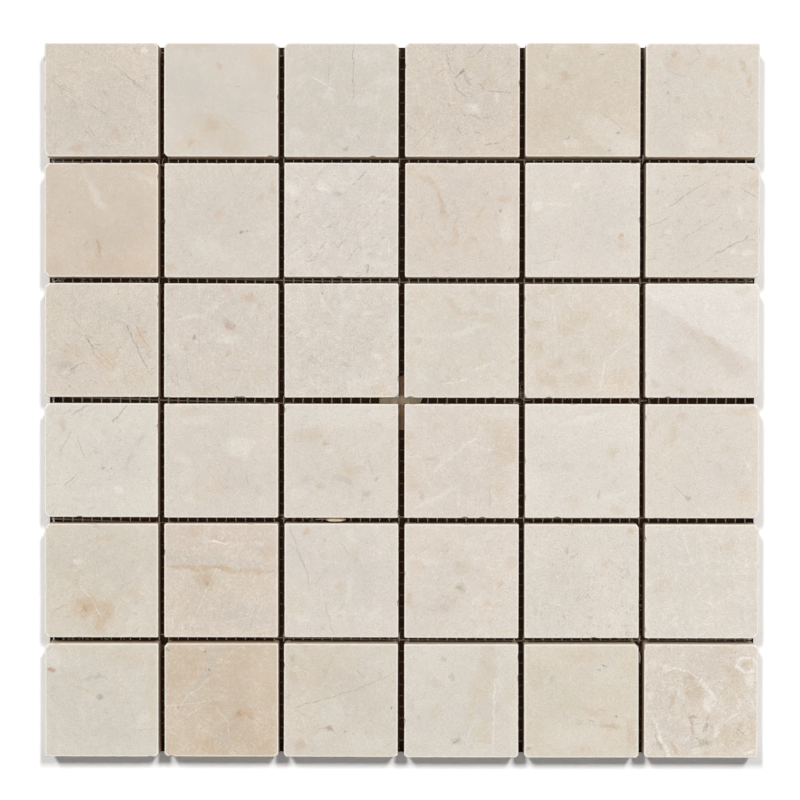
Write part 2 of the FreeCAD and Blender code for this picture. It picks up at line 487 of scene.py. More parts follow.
STONES["r1_c2"] = dict(
    base=tone(211, 203, 193), warmth=0.1, chalk=0.2, lines=0.08, threads=0.1, grit=0.5,
    marks=[
        cloud(-3, -13.5, 10, 6, TAN, 0.6, -20), cloud(6, -19.5, 5.5, 4, TAN, 0.6),
        cloud(-13.4, -18.8, 4.5, 3.5, TAN, 0.6), cloud(-13, -18.5, 1.6, 1, OCHRE, 0.7, 30),
        cloud(-4, -11.5, 2.4, 2.6, OCHRE, 0.45), crack(-13, -6.6, 0, -7, TAN, 0.8, 0.5),
        crack(0, -7, 9, -16, TAN, 0.8, 0.5), cloud(-11, 22.3, 10, 2, TAN, 0.5),
        cloud(16, 18.5, 5, 4.5, TAN, 0.6), cloud(20, 11, 4, 6, TAN, 0.3),
        cloud(-0.6, 14.4, 1.3, 1.6, OCHRE, 0.5), crack(7, -4.8, 20.8, -4, UMBER, 0.35),
        crack(5.5, 5.8, 8.2, 5.4, UMBER, 0.6),
    ],
)
STONES["r1_c3"] = dict(
    base=tone(211, 203, 193), warmth=0.12, chalk=0.55, lines=0.12,
    marks=[
        crack(5, 23.5, 5, 6, SOOT, 0.85, 0.3), crack(5, 7, 4.8, -1, UMBER, 0.7, 0.3),
        crack(-5, 22, -5.4, 7, UMBER, 0.45, 0.25), cloud(11, 18, 7, 3, FROST, 0.5),
        cloud(18, 8, 4, 3, FROST, 0.55), cloud(9.5, -0.5, 5, 3, FROST, 0.5),
        cloud(-15, 16, 8, 2, SLATE, 0.35, -25), crack(-13, 10, -3, 4, CHALK, 0.6, 0.5),
        cloud(1.7, -20, 1.4, 1.1, RUST, 0.55, 0, 0.3), cloud(-23, -14.6, 1, 1.8, SLATE, 0.9),
        cloud(-20, -15.5, 3.5, 3, FROST, 0.6), crack(6, -14.4, 8, -16.6, UMBER, 0.7),
    ],
)
count_marks("r1")

# %% [markdown]
# The fourth chip is the most cracked one, with a dark knot near its middle. The fifth is
# yellowish with a pale block in one corner. The last number of a cloud is how soft its edge is,
# and for the block it is small, so that the block ends sharply.

# %% First row, last three chips
STONES["r1_c4"] = dict(
    base=tone(212, 201, 190), warmth=0.3, lines=0.5, heading=-50, grit=1.35, specks=0.3,
    marks=[
        crack(-6.9, 20.5, -4.6, 12.4, UMBER, 0.8, 0.5), crack(-4.6, 12.4, -2.8, 10.2, UMBER, 0.7, 0.35),
        crack(0.3, 16.2, 5.6, 19, UMBER, 0.8, 0.3), crack(5.6, 19, 8.6, 22.8, UMBER, 0.8, 0.4),
        crack(-3.2, 9, 0.9, 12.9, SOOT, 0.9, 0.5), crack(-0.9, 11, 1, 12.9, SOOT, 0.9, 0.9),
        cloud(2.4, 8.4, 1.2, 3.4, MOSS, 0.9, 24, 0.3), crack(-3.6, 7.4, -2, 3.9, UMBER, 0.9, 0.4),
        crack(-2, 3.9, 1.4, 1.5, SOOT, 0.8, 0.35), crack(7.4, 7.4, 8.8, 3, OCHRE, 1, 0.6),
        crack(10.9, 3.4, 20.4, 3, UMBER, 0.8, 0.4), crack(-19, 15.2, -14.9, 17.6, UMBER, 0.9, 0.35),
        crack(-11.8, 10.2, -8.3, 12.6, UMBER, 0.7, 0.3),
        crack(-19, -18.2, -11.4, -10.6, UMBER, 0.6, 0.28), crack(3.4, -6.2, 8.4, -8.2, SOOT, 0.6, 0.4),
        crack(9.4, -7.2, 13, -6.7, RUST, 0.7, 0.4), crack(9.8, -19.2, 15.6, -18, RUST, 1, 0.4),
        crack(15.6, -18, 20.6, -14.8, RUST, 0.6, 0.3), crack(4.8, -13, 7.8, -14.2, UMBER, 0.8, 0.5),
        crack(-2.2, -11.6, -0.6, -14.4, UMBER, 0.8, 0.5), crack(17.8, -10.4, 23, -5.8, UMBER, 0.7, 0.4),
        cloud(5, -3.4, 3, 2, CHALK, 0.85, -10), cloud(14.2, 1.2, 1.2, 1.4, CHALK, 0.6),
        crack(-7.8, 19, -5.4, 4, FROST, 0.7, 0.8), cloud(22.6, -6, 1.4, 16, PEACH, 0.7),
        cloud(12.4, 10, 2.2, 5, HONEY, 0.6), cloud(5, 15, 4, 2.4, HONEY, 0.6, 20),
        cloud(-21, 12, 2.4, 3, HONEY, 0.5), cloud(-16, -6, 3.4, 5, TAN, 0.45),
        cloud(14, -14, 6, 3, HONEY, 0.4),
    ],
)
STONES["r1_c5"] = dict(
    base=tone(213, 202, 186), warmth=0.45, chalk=0.1, lines=0.15, specks=0.3,
    marks=[
        cloud(-18.5, -9, 8, 8, TAN, 0.6), cloud(-7.7, 9, 2.3, 1.8, OCHRE, 0.6),
        cloud(-15, 5, 1.6, 1, OCHRE, 0.7), cloud(-0.4, 21.4, 2.4, 2, PEACH, 0.7),
        cloud(-9.5, 22, 3, 2.4, PALE, 0.8), cloud(6, 22.4, 3, 2.4, PALE, 0.8),
        cloud(-17, 9, 2.2, 3, PALE, 0.6),
        cloud(11.5, -14.5, 12.5, 6, tone(222, 214, 204), 0.8, -32, 0.18),
        cloud(20, -21, 8, 5, tone(224, 216, 206), 0.8, -20, 0.2),
        cloud(-4.6, -19, 3.6, 1.8, tone(224, 216, 206), 0.8, -15, 0.25),
        crack(9, -6, 17, -12.6, MOSS, 0.9, 0.4), cloud(15.2, -13.6, 1.3, 0.5, SOOT, 0.5, 20, 0.3),
        cloud(11.2, -21, 0.5, 0.5, SOOT, 0.5, 0, 0.3), cloud(14, 7, 0.7, 0.5, UMBER, 0.8),
        cloud(-15.6, 18, 0.8, 1.3, MOSS, 0.8), cloud(-8, 14, 1.8, 1.4, PALE, 0.7),
        cloud(7.5, 18.6, 0.6, 0.6, SOOT, 0.6, 0, 0.3), cloud(-6.6, -16.4, 0.6, 0.6, SOOT, 0.5, 0, 0.3),
    ],
)
STONES["r1_c6"] = dict(
    base=tone(219, 210, 199), warmth=0.3, chalk=0.35, lines=0.3, heading=-60, specks=0.3,
    marks=[
        cloud(-12.5, 15.6, 3, 3, PEACH, 0.75), cloud(-12.4, 18.8, 0.9, 1.4, OCHRE, 0.7),
        cloud(4.7, 15, 3.4, 2.4, PEACH, 0.7), cloud(11, 12.6, 3, 1.2, HONEY, 0.7, -25),
        cloud(16.8, 14, 1.2, 3, OCHRE, 0.55, 20), cloud(19.4, 7.4, 0.9, 2.4, OCHRE, 0.6),
        cloud(-10.3, -0.6, 1.6, 2, TAN, 0.7), cloud(7.3, -8.8, 1.2, 1.1, OCHRE, 0.6),
        cloud(7.8, -17, 0.8, 2, OCHRE, 0.5), cloud(-14.8, 2.4, 0.6, 0.6, SOOT, 0.5, 0, 0.3),
        cloud(-1.3, -17, 5, 4, CHALK, 0.5), crack(-15, 12, -6, 9, UMBER, 0.5),
    ],
)
count_marks("r1")

# %% [markdown]
# ## The second row
# It starts with the warmest of the outer chips, and its third is a web of fine cracks. A crack
# that bends is a chain of short straight ones, end to end, and the noise that bends the place
# joins them up.

# %% Second row, first three chips
STONES["r2_c1"] = dict(
    base=tone(209, 195, 180), warmth=0.6, chalk=0.1, lines=0.12, threads=0.1, grit=0.7,
    marks=[
        cloud(-2.4, 11, 1.6, 8.5, FROST, 0.65, 30), cloud(19, 17.6, 6, 1.4, FROST, 0.5, -22),
        cloud(-12.4, -2.4, 1.4, 2.4, SLATE, 0.6), crack(-2, -8.5, 0, -16, RUST, 0.85, 0.45),
        cloud(-1, -12, 1.6, 4, OCHRE, 0.4), cloud(-5.5, -10.4, 2.4, 1.4, OCHRE, 0.35),
        cloud(8, -19.6, 13, 5, OCHRE, 0.33), cloud(-22, -21, 6, 5, OCHRE, 0.3),
        cloud(19.6, 22.6, 5, 3, PEACH, 0.7), cloud(7.7, 1.6, 6, 4, ROSY, 0.5),
        cloud(16, -6, 6, 2.4, PEACH, 0.5), cloud(-20, -4, 3, 3, PEACH, 0.6),
        cloud(-13.2, 3, 0.5, 0.5, SOOT, 0.7, 0, 0.3), cloud(-14, 15, 5, 5, HONEY, 0.3),
    ],
)
STONES["r2_c2"] = dict(
    base=tone(213, 204, 194), warmth=0.15, chalk=0.3, lines=0.2, specks=0.35,
    marks=[
        crack(8, -5.2, 11.6, -4.4, SOOT, 0.8, 0.35), cloud(8.2, -5.2, 0.5, 0.5, UMBER, 0.8, 0, 0.3),
        crack(4, 22, 5, 18, UMBER, 0.6), cloud(21.8, 13.8, 1.3, 2.4, OCHRE, 0.5),
        cloud(16.5, 9.5, 1.8, 1.2, OCHRE, 0.5), cloud(-0.6, 2.6, 1.6, 1.4, PEACH, 0.9),
        cloud(-21.5, -19.6, 1.8, 1.8, OCHRE, 0.5), cloud(-7, -11, 7, 3.6, FROST, 0.5, -30),
        crack(-14, -12, -12, -15.4, UMBER, 0.6), crack(-22, -3.4, -19, -5, OCHRE, 0.6),
        cloud(-18, 17, 0.9, 3, MOSS, 0.4),
    ],
)
STONES["r2_c3"] = dict(
    base=tone(216, 208, 200), warmth=0.12, chalk=0.65, lines=0.5, heading=40, threads=0.6,
    marks=[
        cloud(-21.6, 13.4, 4, 2, CHALK, 0.8, -30), cloud(-8, 13.4, 3, 1.8, CHALK, 0.8, -25),
        cloud(-3.4, 17.7, 4, 3, FROST, 0.7), crack(4.6, 14.8, 11.2, 21.6, SOOT, 0.7, 0.32),
        crack(-15, -17.8, -11.2, -16.8, UMBER, 0.6, 0.3), crack(-11.2, -16.8, -9, -12, SOOT, 0.5, 0.28),
        crack(-9, -12, -5, -8, SOOT, 0.45, 0.28), crack(-1.2, -11.4, 2.2, -8.3, UMBER, 0.8, 0.3),
        crack(7.2, -11.4, 6.8, -5.3, UMBER, 0.6, 0.28), crack(3.4, 1.7, 1.8, -3.7, UMBER, 0.4),
        crack(9.5, -3.7, 11.4, -1, UMBER, 0.6), crack(15.7, 6.3, 23.3, 11.3, UMBER, 0.45),
        crack(20.3, -8.3, 20.4, -14.5, CHALK, 0.6, 0.5),
        cloud(10.9, -20.3, 0.6, 0.9, SOOT, 0.6, 0, 0.3), cloud(-18, 2, 1, 0.8, UMBER, 0.6),
        crack(-22.6, -15.2, -13, -8, UMBER, 0.6, 0.3), crack(-5, -8, -1, -12, UMBER, 0.5),
        crack(1.7, -17.4, 7.3, -11.4, UMBER, 0.75, 0.3), crack(9, -3, 19, 8.3, UMBER, 0.4),
        crack(-7, -4.6, -3.2, -1, UMBER, 0.7, 0.3), cloud(-19, 2, 1, 1, OCHRE, 0.5),
        cloud(14, -18, 5, 2, CHALK, 0.5), cloud(18.5, 13, 4, 2.4, ROSY, 0.5),
    ],
)
count_marks("r2")

# %% [markdown]
# Ochre streaks run down the fourth chip, and straight dark hairlines cross the last from corner
# to corner. Hairlines that lean one way come from noise that is stretched along a heading, so
# only the strongest have to be written down.

# %% Second row, last three chips
STONES["r2_c4"] = dict(
    base=tone(217, 206, 195), warmth=0.35, chalk=0.2, lines=0.4, heading=70,
    marks=[
        cloud(-14.4, 16, 5, 1.8, OCHRE, 0.42, -35), cloud(-8.7, 6, 1.3, 8, OCHRE, 0.45, 10),
        crack(-9.8, 12, -7.4, 3, RUST, 0.25, 0.5), cloud(-2.6, -4, 1, 6.6, OCHRE, 0.45, -5),
        cloud(7.4, 3.6, 1, 3.2, OCHRE, 0.5, -30), cloud(7.6, -13.5, 1, 3.4, PEACH, 0.8, 20),
        cloud(-12, -10, 1.4, 3, PEACH, 0.7, 30), cloud(5.6, -7.6, 1.2, 1, SOOT, 0.35),
        cloud(18.8, -2.8, 3, 7.5, CHALK, 0.6), cloud(15.8, 4, 0.65, 0.6, SOOT, 0.95, 0, 0.3),
        cloud(18.4, 9, 2.8, 1.6, OCHRE, 0.4), cloud(-22, 21, 3, 3, PEACH, 0.7),
        cloud(-21, -1, 3, 3, PEACH, 0.4), cloud(-8, 22.5, 2, 1.6, RUST, 0.25),
        crack(-15, -1, -7, -9, UMBER, 0.3),
    ],
)
STONES["r2_c5"] = dict(
    base=tone(221, 213, 204), warmth=0.1, chalk=0.4, lines=0.15,
    marks=[
        cloud(-19.4, 6.6, 2.4, 2.6, CHALK, 0.9, 0, 0.3), cloud(-2.8, 14, 1.7, 1.5, CHALK, 0.7),
        cloud(11.8, -4.3, 1.7, 1.4, CHALK, 0.7), cloud(2, 21, 1.6, 1.4, CHALK, 0.5),
        crack(-11, -10, -12, -16.8, MOSS, 0.8, 0.4), crack(-12, -16.8, -21, -18.4, UMBER, 0.5),
        cloud(16.6, -7.3, 0.9, 0.9, OCHRE, 0.8, 0, 0.3), cloud(17, -10, 3, 3, PEACH, 0.6),
        cloud(2.4, -4.6, 1.4, 1.4, PEACH, 0.6), cloud(-22.8, 0.5, 1.2, 2.4, OCHRE, 0.35),
        cloud(-11, 7, 5, 1, CHALK, 0.5, -4),
    ],
)
STONES["r2_c6"] = dict(
    base=tone(221, 212, 202), warmth=0.15, chalk=0.3, lines=0.55, heading=31, threads=0.15,
    marks=[
        crack(-15.7, 5, 2, 16.4, SOOT, 0.6, 0.32), crack(-23, -2.6, -15, 0.7, UMBER, 0.8, 0.36),
        crack(-9.2, -7.8, 7.6, 1.6, UMBER, 0.65, 0.3), crack(-7.5, -22.6, 6, -14.4, UMBER, 0.5, 0.28),
        crack(5, -14.6, 22.4, -5, SOOT, 0.75, 0.34), crack(16, 13, 23, 9.6, UMBER, 0.8, 0.34),
        crack(17, 23.5, 22, 21.8, SOOT, 0.7, 0.3), crack(-9, 19.2, -5.6, 18.6, RUST, 0.8, 0.34),
        cloud(-15.6, 6.7, 1.4, 1.3, CHALK, 0.9), cloud(-14.4, -5, 1.6, 1.4, CHALK, 0.8),
        cloud(-0.6, 8, 1.1, 1, CHALK, 0.7), cloud(16, 3.3, 1.2, 3.2, CHALK, 0.7),
        cloud(12.3, -13, 1.3, 1.2, CHALK, 0.8), cloud(19, -13, 1.6, 1.2, CHALK, 0.9),
        cloud(9.4, 11.5, 2, 1.9, SLATE, 0.7), cloud(-2.8, 22.4, 3.4, 1.8, TAN, 0.7),
        cloud(21, 15, 2.8, 2.6, TAN, 0.7), cloud(-22, 18, 2, 4, FROST, 0.6),
        cloud(5, 14, 14, 7, ROSY, 0.25, 30),
    ],
)
count_marks("r2")

# %% [markdown]
# ## The third row
# A dark zigzag crosses the first chip, the second has a small brick-red fossil, and the third
# has neither and lives by its grain.

# %% Third row, first three chips
STONES["r3_c1"] = dict(
    base=tone(213, 203, 191), warmth=0.35, lines=0.55, heading=-55, grit=1.35, specks=0.35,
    marks=[
        crack(10.4, 6.6, 19.7, -12.7, SOOT, 0.85, 0.34), crack(19.7, -12.6, 22.6, -11.4, UMBER, 0.7),
        crack(3.6, 9.4, 10.4, 6.4, UMBER, 0.7), crack(-6.9, 1.6, -2.9, -4.4, SOOT, 0.9, 0.45),
        crack(-4.5, -2.8, 1.6, -2.2, SOOT, 0.6, 0.3), crack(-4.4, -4.6, 3.6, -13, RUST, 0.8, 0.35),
        crack(-1.6, -4, 6, -13, RUST, 0.8, 0.35), crack(0.4, -3.6, 7.2, -12, UMBER, 0.6),
        cloud(2.2, -9, 4, 4.8, PEACH, 0.8, 40, 0.3), cloud(16.4, 1.4, 2.6, 4, PEACH, 0.8, 20, 0.25),
        crack(14.6, 5.2, 20, -2.6, RUST, 0.8, 0.32), crack(16.2, -3.2, 20, -2.6, UMBER, 0.7),
        cloud(-15.4, -11, 3.4, 2.4, UMBER, 0.45), crack(-14, -13.6, -7, -9.6, SOOT, 0.7, 0.35),
        crack(-12, 9, -9, 5.6, UMBER, 0.7), crack(-21.4, 1, -16.6, -5, UMBER, 0.6),
        crack(-15.4, -16, -10, -11.8, UMBER, 0.6), cloud(-11, -5, 5, 3.4, OCHRE, 0.35),
        cloud(-19.7, 14, 4, 4, HONEY, 0.5), cloud(15.4, -16, 4, 4, HONEY, 0.5),
        cloud(4, 12, 5, 3, SLATE, 0.25),
    ],
)
STONES["r3_c2"] = dict(
    base=tone(212, 202, 192), warmth=0.2, chalk=0.35, lines=0.45, heading=85, threads=0.5,
    marks=[
        cloud(3.7, 6.6, 2.4, 2.6, RUST, 0.5, 20, 0.15), cloud(2.8, -5.4, 1.7, 1.3, OCHRE, 0.6, 0, 0.3),
        cloud(11.4, 18.3, 1.6, 1.6, OCHRE, 0.55), cloud(15.8, 14.8, 0.9, 1.8, OCHRE, 0.45),
        cloud(2.4, 22.6, 2.2, 1.8, OCHRE, 0.35), cloud(-5.3, -21.4, 3.6, 1.8, PEACH, 0.9),
        cloud(16.6, -13.6, 3.2, 2, HONEY, 0.7, -30), cloud(20, 22, 3, 2, HONEY, 0.6),
        cloud(-11.8, 0.6, 0.9, 0.8, SOOT, 0.6), crack(-8.8, 22.6, -9.6, -10.2, UMBER, 0.45, 0.28),
        crack(-16.5, 7, -14, -12, SLATE, 0.9, 0.32), crack(-14, -12, -11.8, -18, SLATE, 0.7),
        crack(-18.7, -11, -17.8, -23, SOOT, 0.5, 0.3), crack(-8.3, -0.8, -2.3, -1, UMBER, 0.6),
        crack(2.8, -12, 11.4, -13.2, UMBER, 0.6), cloud(-13, 9.4, 7, 1, CHALK, 0.6, 10),
        cloud(-3, 13.5, 5, 1, CHALK, 0.6, 28), cloud(2.2, 0.6, 5, 2, CHALK, 0.6),
        cloud(-19, -3.6, 2, 3, FROST, 0.6),
    ],
)
STONES["r3_c3"] = dict(
    base=tone(216, 207, 197), warmth=0.15, chalk=0.4, lines=0.4, heading=35, grit=1.25, threads=0.6,
    marks=[
        cloud(0.9, 14, 1.7, 9, FROST, 0.75, 3), cloud(4.2, -17, 2, 7, FROST, 0.8, -4),
        crack(3.6, -11.8, 4.6, -22, SLATE, 1, 0.4), cloud(2.6, 20.6, 1.3, 2, SLATE, 0.5),
        cloud(11, 11.7, 1.7, 1.1, CHALK, 0.9), cloud(14.8, -6.4, 2, 1.6, CHALK, 0.7),
        cloud(-17, 2.6, 3, 1.4, CHALK, 0.6, 30), cloud(-8.4, 19.6, 0.5, 0.5, SOOT, 0.9, 0, 0.3),
        cloud(-12.6, -8, 1.7, 1.4, UMBER, 0.35), cloud(-5.6, 11, 1.8, 1.6, RUST, 0.2),
        cloud(16.8, -20.8, 3, 2.4, PEACH, 0.9), cloud(-8, -10, 2, 1.2, PEACH, 0.6),
        cloud(15, 5, 3, 1, ROSY, 0.7), cloud(22.6, 5, 1.6, 14, FROST, 0.4),
    ],
)
count_marks("r3")

# %% [markdown]
# The last chip is split along a slope into white above and beige below. The white part is one
# oval far larger than the chip, so that its edge is nearly straight where it crosses the face.

# %% Third row, last three chips
STONES["r3_c4"] = dict(
    base=tone(218, 209, 198), warmth=0.15, chalk=0.35, lines=0.2, threads=0.45, grit=0.9,
    marks=[
        cloud(-3.6, 15, 1.5, 4, OCHRE, 0.42, 32), cloud(3, 10.6, 4, 1.4, OCHRE, 0.32, -20),
        cloud(11, 8.6, 5, 1.8, HONEY, 0.8, -12), cloud(5, 20.8, 1.2, 1.1, SLATE, 0.9),
        cloud(9, 19, 6, 2, HONEY, 0.5), cloud(4, 4.6, 9, 0.9, CHALK, 0.6, 17),
        cloud(-10, 2, 12, 1.1, FROST, 0.6, -4), cloud(-21, -8, 2.4, 2.6, HONEY, 0.7),
        cloud(-8, -8.6, 1.5, 3, HONEY, 0.7), cloud(-2.2, -11.4, 1.9, 1.6, TAN, 0.7),
        cloud(8.7, -7, 2, 1.8, HONEY, 0.7), cloud(15.9, -14.8, 1.8, 1.4, HONEY, 0.8),
        cloud(-18.4, 18.8, 3.4, 2.2, TAN, 0.55), cloud(-17.6, 0.6, 2.4, 1.2, OCHRE, 0.35),
        crack(-13, -5, -11, -17, MOSS, 0.45, 0.5), crack(-7.4, -18, 3, -16.8, CHALK, 0.8, 0.4),
        crack(4, -13, 13, -9, CHALK, 0.7, 0.35), cloud(21.4, -8, 0.7, 0.7, RUST, 0.5),
        crack(-8.4, -6, -2, 0, UMBER, 0.3),
    ],
)
STONES["r3_c5"] = dict(
    base=tone(221, 211, 200), warmth=0.25, chalk=0.2, lines=0.15, threads=0.55,
    marks=[
        cloud(-6.8, 4.5, 3.2, 2.3, TAN, 0.75, -20), cloud(-1.7, 10, 5, 3.6, HONEY, 0.75),
        cloud(-19.6, 7, 3.2, 2.4, TAN, 0.7), cloud(-19.7, -2.8, 4.2, 4, TAN, 0.65),
        cloud(-11, -9.7, 3.6, 2.2, TAN, 0.75), cloud(0.4, -6.7, 3.4, 2.8, HONEY, 0.7),
        cloud(-14.5, -16.2, 5.2, 3.2, OCHRE, 0.38, -25), cloud(-1.7, -16, 5.4, 3.2, TAN, 0.65),
        cloud(17, -16.5, 5.4, 4.4, PEACH, 0.6), cloud(-12, 22.4, 3, 1.6, TAN, 0.7),
        cloud(13, 4, 5, 3, HONEY, 0.4), cloud(19, 14, 3, 3, HONEY, 0.4), cloud(-19, 20, 4, 3, TAN, 0.4),
        crack(10.3, -6.7, 19.7, -0.7, CHALK, 0.6, 0.42),
        crack(7.3, -21.7, 10.3, -6.7, CHALK, 0.6, 0.42),
        crack(-12.8, 17.7, -10.3, 1.5, CHALK, 0.6, 0.35), cloud(12, 11, 0.9, 0.9, CHALK, 0.8),
    ],
)
STONES["r3_c6"] = dict(
    base=tone(224, 216, 208), warmth=0.15, chalk=0.3, lines=0.12, threads=0.3,
    marks=[
        cloud(-18, 3, 6, 6, FROST, 0.7), cloud(-22.6, -11, 2.6, 9, FROST, 0.8),
        cloud(1, 0, 9, 4.6, TAN, 0.4, -29), cloud(11, -8, 8, 4.4, ROSY, 0.7, -38),
        cloud(-10, -6, 5, 4, ROSY, 0.6, 20), cloud(-4, 3, 4, 1.8, ROSY, 0.7, -30),
        cloud(14, 20, 80, 21, tone(231, 225, 219), 1.2, -29, 0.06),
        cloud(4.4, -0.4, 5, 0.9, TAN, 0.5, -32), cloud(-20, -18, 1.8, 1.4, OCHRE, 0.5),
        cloud(-8.8, -20.4, 2.6, 1.6, OCHRE, 0.45), cloud(16.8, 21, 3, 2, TAN, 0.6),
        cloud(19, 14, 3, 3, TAN, 0.3), cloud(2, -21.4, 5, 1.4, TAN, 0.6),
        cloud(14, -12, 4, 4, ROSY, 0.6),
    ],
)
count_marks("r3")

# %% [markdown]
# ## The fourth row
# These are the quiet chips in the middle of the sheet. Weak marks over a lively grain read as
# stone, while a few strong ones read as dirt, so the amounts here are small.

# %% Fourth row, first three chips
STONES["r4_c1"] = dict(
    base=tone(218, 212, 202), warmth=0.1, chalk=0.3, lines=0.3, heading=50, threads=0.2,
    marks=[
        crack(5, 16.6, 11.2, 23.6, SOOT, 0.7, 0.4), crack(4.6, 16.4, 7.4, 19, MOSS, 1, 0.7),
        crack(-12.4, 18.8, -5, 23.6, UMBER, 0.8, 0.45), crack(-9, 18.6, -2, 22.4, UMBER, 0.5),
        crack(-19, 19.4, -12, 21, MOSS, 0.6, 0.5), cloud(-16.4, 16.6, 2, 1.6, OCHRE, 0.5),
        cloud(-16, 13, 1, 1.8, UMBER, 0.35), crack(-18, 2, -12.4, 12.8, UMBER, 0.55),
        crack(-10.7, 10.6, -6.4, 0, UMBER, 0.6), cloud(17, 9, 0.8, 4.4, SLATE, 0.6, -38),
        cloud(12, 0, 0.8, 4.4, MOSS, 0.45, -12), crack(-15.8, -11.2, -10.6, -6, SOOT, 0.75, 0.35),
        crack(-13.4, -11.4, -10.4, -8, MOSS, 0.8, 0.5), crack(-6, 0.6, -3.4, 3.6, MOSS, 0.6, 0.4),
        cloud(-1.3, 10.2, 2.2, 2.2, FROST, 0.7, 0, 0.2), cloud(7.3, -13, 2, 1.8, CHALK, 0.9, 0, 0.3),
        cloud(-2, -13, 4, 2, FROST, 0.5), cloud(-7, -19.4, 2.4, 1.4, FROST, 0.6),
        crack(-5.4, -21.6, -3, -19.6, MOSS, 0.7, 0.45), cloud(7.8, 8.3, 0.5, 0.5, SOOT, 0.6, 0, 0.3),
        cloud(4, -4, 0.6, 0.5, SOOT, 0.6, 0, 0.3), cloud(1, -2.6, 0.5, 0.5, SOOT, 0.5, 0, 0.3),
        cloud(16, -3.6, 0.5, 0.4, SOOT, 0.5, 0, 0.3), crack(3, -9, 11, -2, SLATE, 0.5, 0.3),
    ],
)
STONES["r4_c2"] = dict(
    base=tone(216, 207, 197), warmth=0.15, chalk=0.4, lines=0.2,
    marks=[
        cloud(8, 5.5, 5.4, 4.6, CHALK, 0.6, -45, 0.35), cloud(-10, 17, 6.4, 1.3, CHALK, 0.5),
        cloud(-14, 20.6, 2.4, 1.4, PEACH, 0.6), cloud(0, -6, 14, 6, ROSY, 0.45),
        cloud(15.3, -12, 2.4, 2, TAN, 0.6), cloud(-9, -16, 2, 1.4, TAN, 0.6),
        cloud(-2, -11, 5, 3, PEACH, 0.4), crack(10.5, -6, 12, -9.6, UMBER, 0.7),
        cloud(-16, 0, 3.4, 1.6, CHALK, 0.5), cloud(-13, -17, 3, 2, CHALK, 0.4),
        cloud(-8, 9.4, 3, 2.2, FROST, 0.4),
    ],
)
STONES["r4_c3"] = dict(
    base=tone(218, 209, 199), warmth=0.15, chalk=0.35, lines=0.3, specks=0.4,
    marks=[
        cloud(0, 20, 26, 5, FROST, 0.65, 4), cloud(-11.8, 10.6, 4.4, 3.2, TAN, 0.7, -25),
        cloud(-6.6, 8.4, 1.2, 1, RUST, 0.45), cloud(-18.4, 10, 2.4, 2.4, TAN, 0.6),
        cloud(-5.8, 4, 2, 1.5, CHALK, 0.6), cloud(2.6, -4, 3.6, 3, HONEY, 0.8),
        cloud(6, -3, 4, 2, ROSY, 0.6), cloud(10.9, -13.4, 1.7, 1.4, UMBER, 0.5),
        cloud(14.7, -7.8, 1.1, 0.9, UMBER, 0.5), cloud(-8.8, -10.8, 1.9, 1.7, PEACH, 0.9),
        cloud(9, -16, 1.2, 1, OCHRE, 0.45), cloud(1.4, -8.4, 3.8, 1.3, SOOT, 0.25, -20),
        cloud(-14.6, -7.4, 2, 1.6, SLATE, 0.5), crack(11, 1, 13.6, -4.6, MOSS, 0.8, 0.5),
    ],
)
count_marks("r4")

# %% [markdown]
# Only the fourth chip has a peach cloud and soft white veins like lightning. A vein that is
# broad and faint is made twice: a long weak cloud, and a thin crack along it.

# %% Fourth row, last three chips
STONES["r4_c4"] = dict(
    base=tone(220, 209, 199), warmth=0.2, chalk=0.2, lines=0.15, threads=0.5,
    marks=[
        cloud(18.8, 7.4, 6.4, 8, PEACH, 0.7), cloud(20, 4, 3.6, 5, OCHRE, 0.1),
        cloud(-22.6, 11, 3, 4, PEACH, 0.9), cloud(-21, -8, 3, 5, PEACH, 0.6),
        cloud(15.6, -9, 4, 6, HONEY, 0.5), cloud(-9, 14.4, 3, 1.4, HONEY, 0.6),
        cloud(11, 16, 5, 2.4, HONEY, 0.45), cloud(-12.5, -16.6, 7, 1.6, FROST, 0.5, 24),
        cloud(-3.5, -12, 4, 1.6, FROST, 0.5, 35), crack(-20, -20, -1.5, -11.2, CHALK, 0.35, 1),
        crack(-1.5, -13, -1, -20, CHALK, 0.4, 0.6), cloud(-8, -1, 6, 1.6, FROST, 0.45, 38),
        crack(-12, -5, -3, 2.8, CHALK, 0.4, 0.8), crack(-3, 2.8, 4, 8.8, CHALK, 0.35, 0.7),
        crack(2, 7.6, 12, 4.8, CHALK, 0.45, 0.5), cloud(4.6, 8.8, 1, 0.6, CHALK, 0.8, 0, 0.3),
        cloud(11.8, 4.8, 1.2, 0.5, CHALK, 0.9, 10, 0.3), cloud(7.6, 5.2, 0.8, 0.5, CHALK, 0.8, 0, 0.3),
        crack(-16, 6.8, -6.8, 7.8, CHALK, 0.35, 0.35), crack(-6.8, 7.8, -3, 3.4, CHALK, 0.3, 0.35),
        crack(-23.6, 1.8, -16, 1.5, CHALK, 0.6, 0.35), crack(4.7, -3.6, 13.9, -2, CHALK, 0.35, 0.5),
        cloud(20, -2.4, 3.6, 1.1, FROST, 0.7, -30), cloud(19, 20, 4, 3, FROST, 0.5),
        cloud(-21.6, 16, 2.4, 5, FROST, 0.7), crack(12, -10.8, 12, -20, MOSS, 0.8, 0.5),
        cloud(-16, -13.7, 1.6, 1.8, OCHRE, 0.5), cloud(-14, 1.4, 2.4, 0.8, UMBER, 0.4),
        cloud(-12.6, 0, 3.4, 2, ROSY, 0.6), cloud(0, -10, 10, 4, ROSY, 0.3),
    ],
)
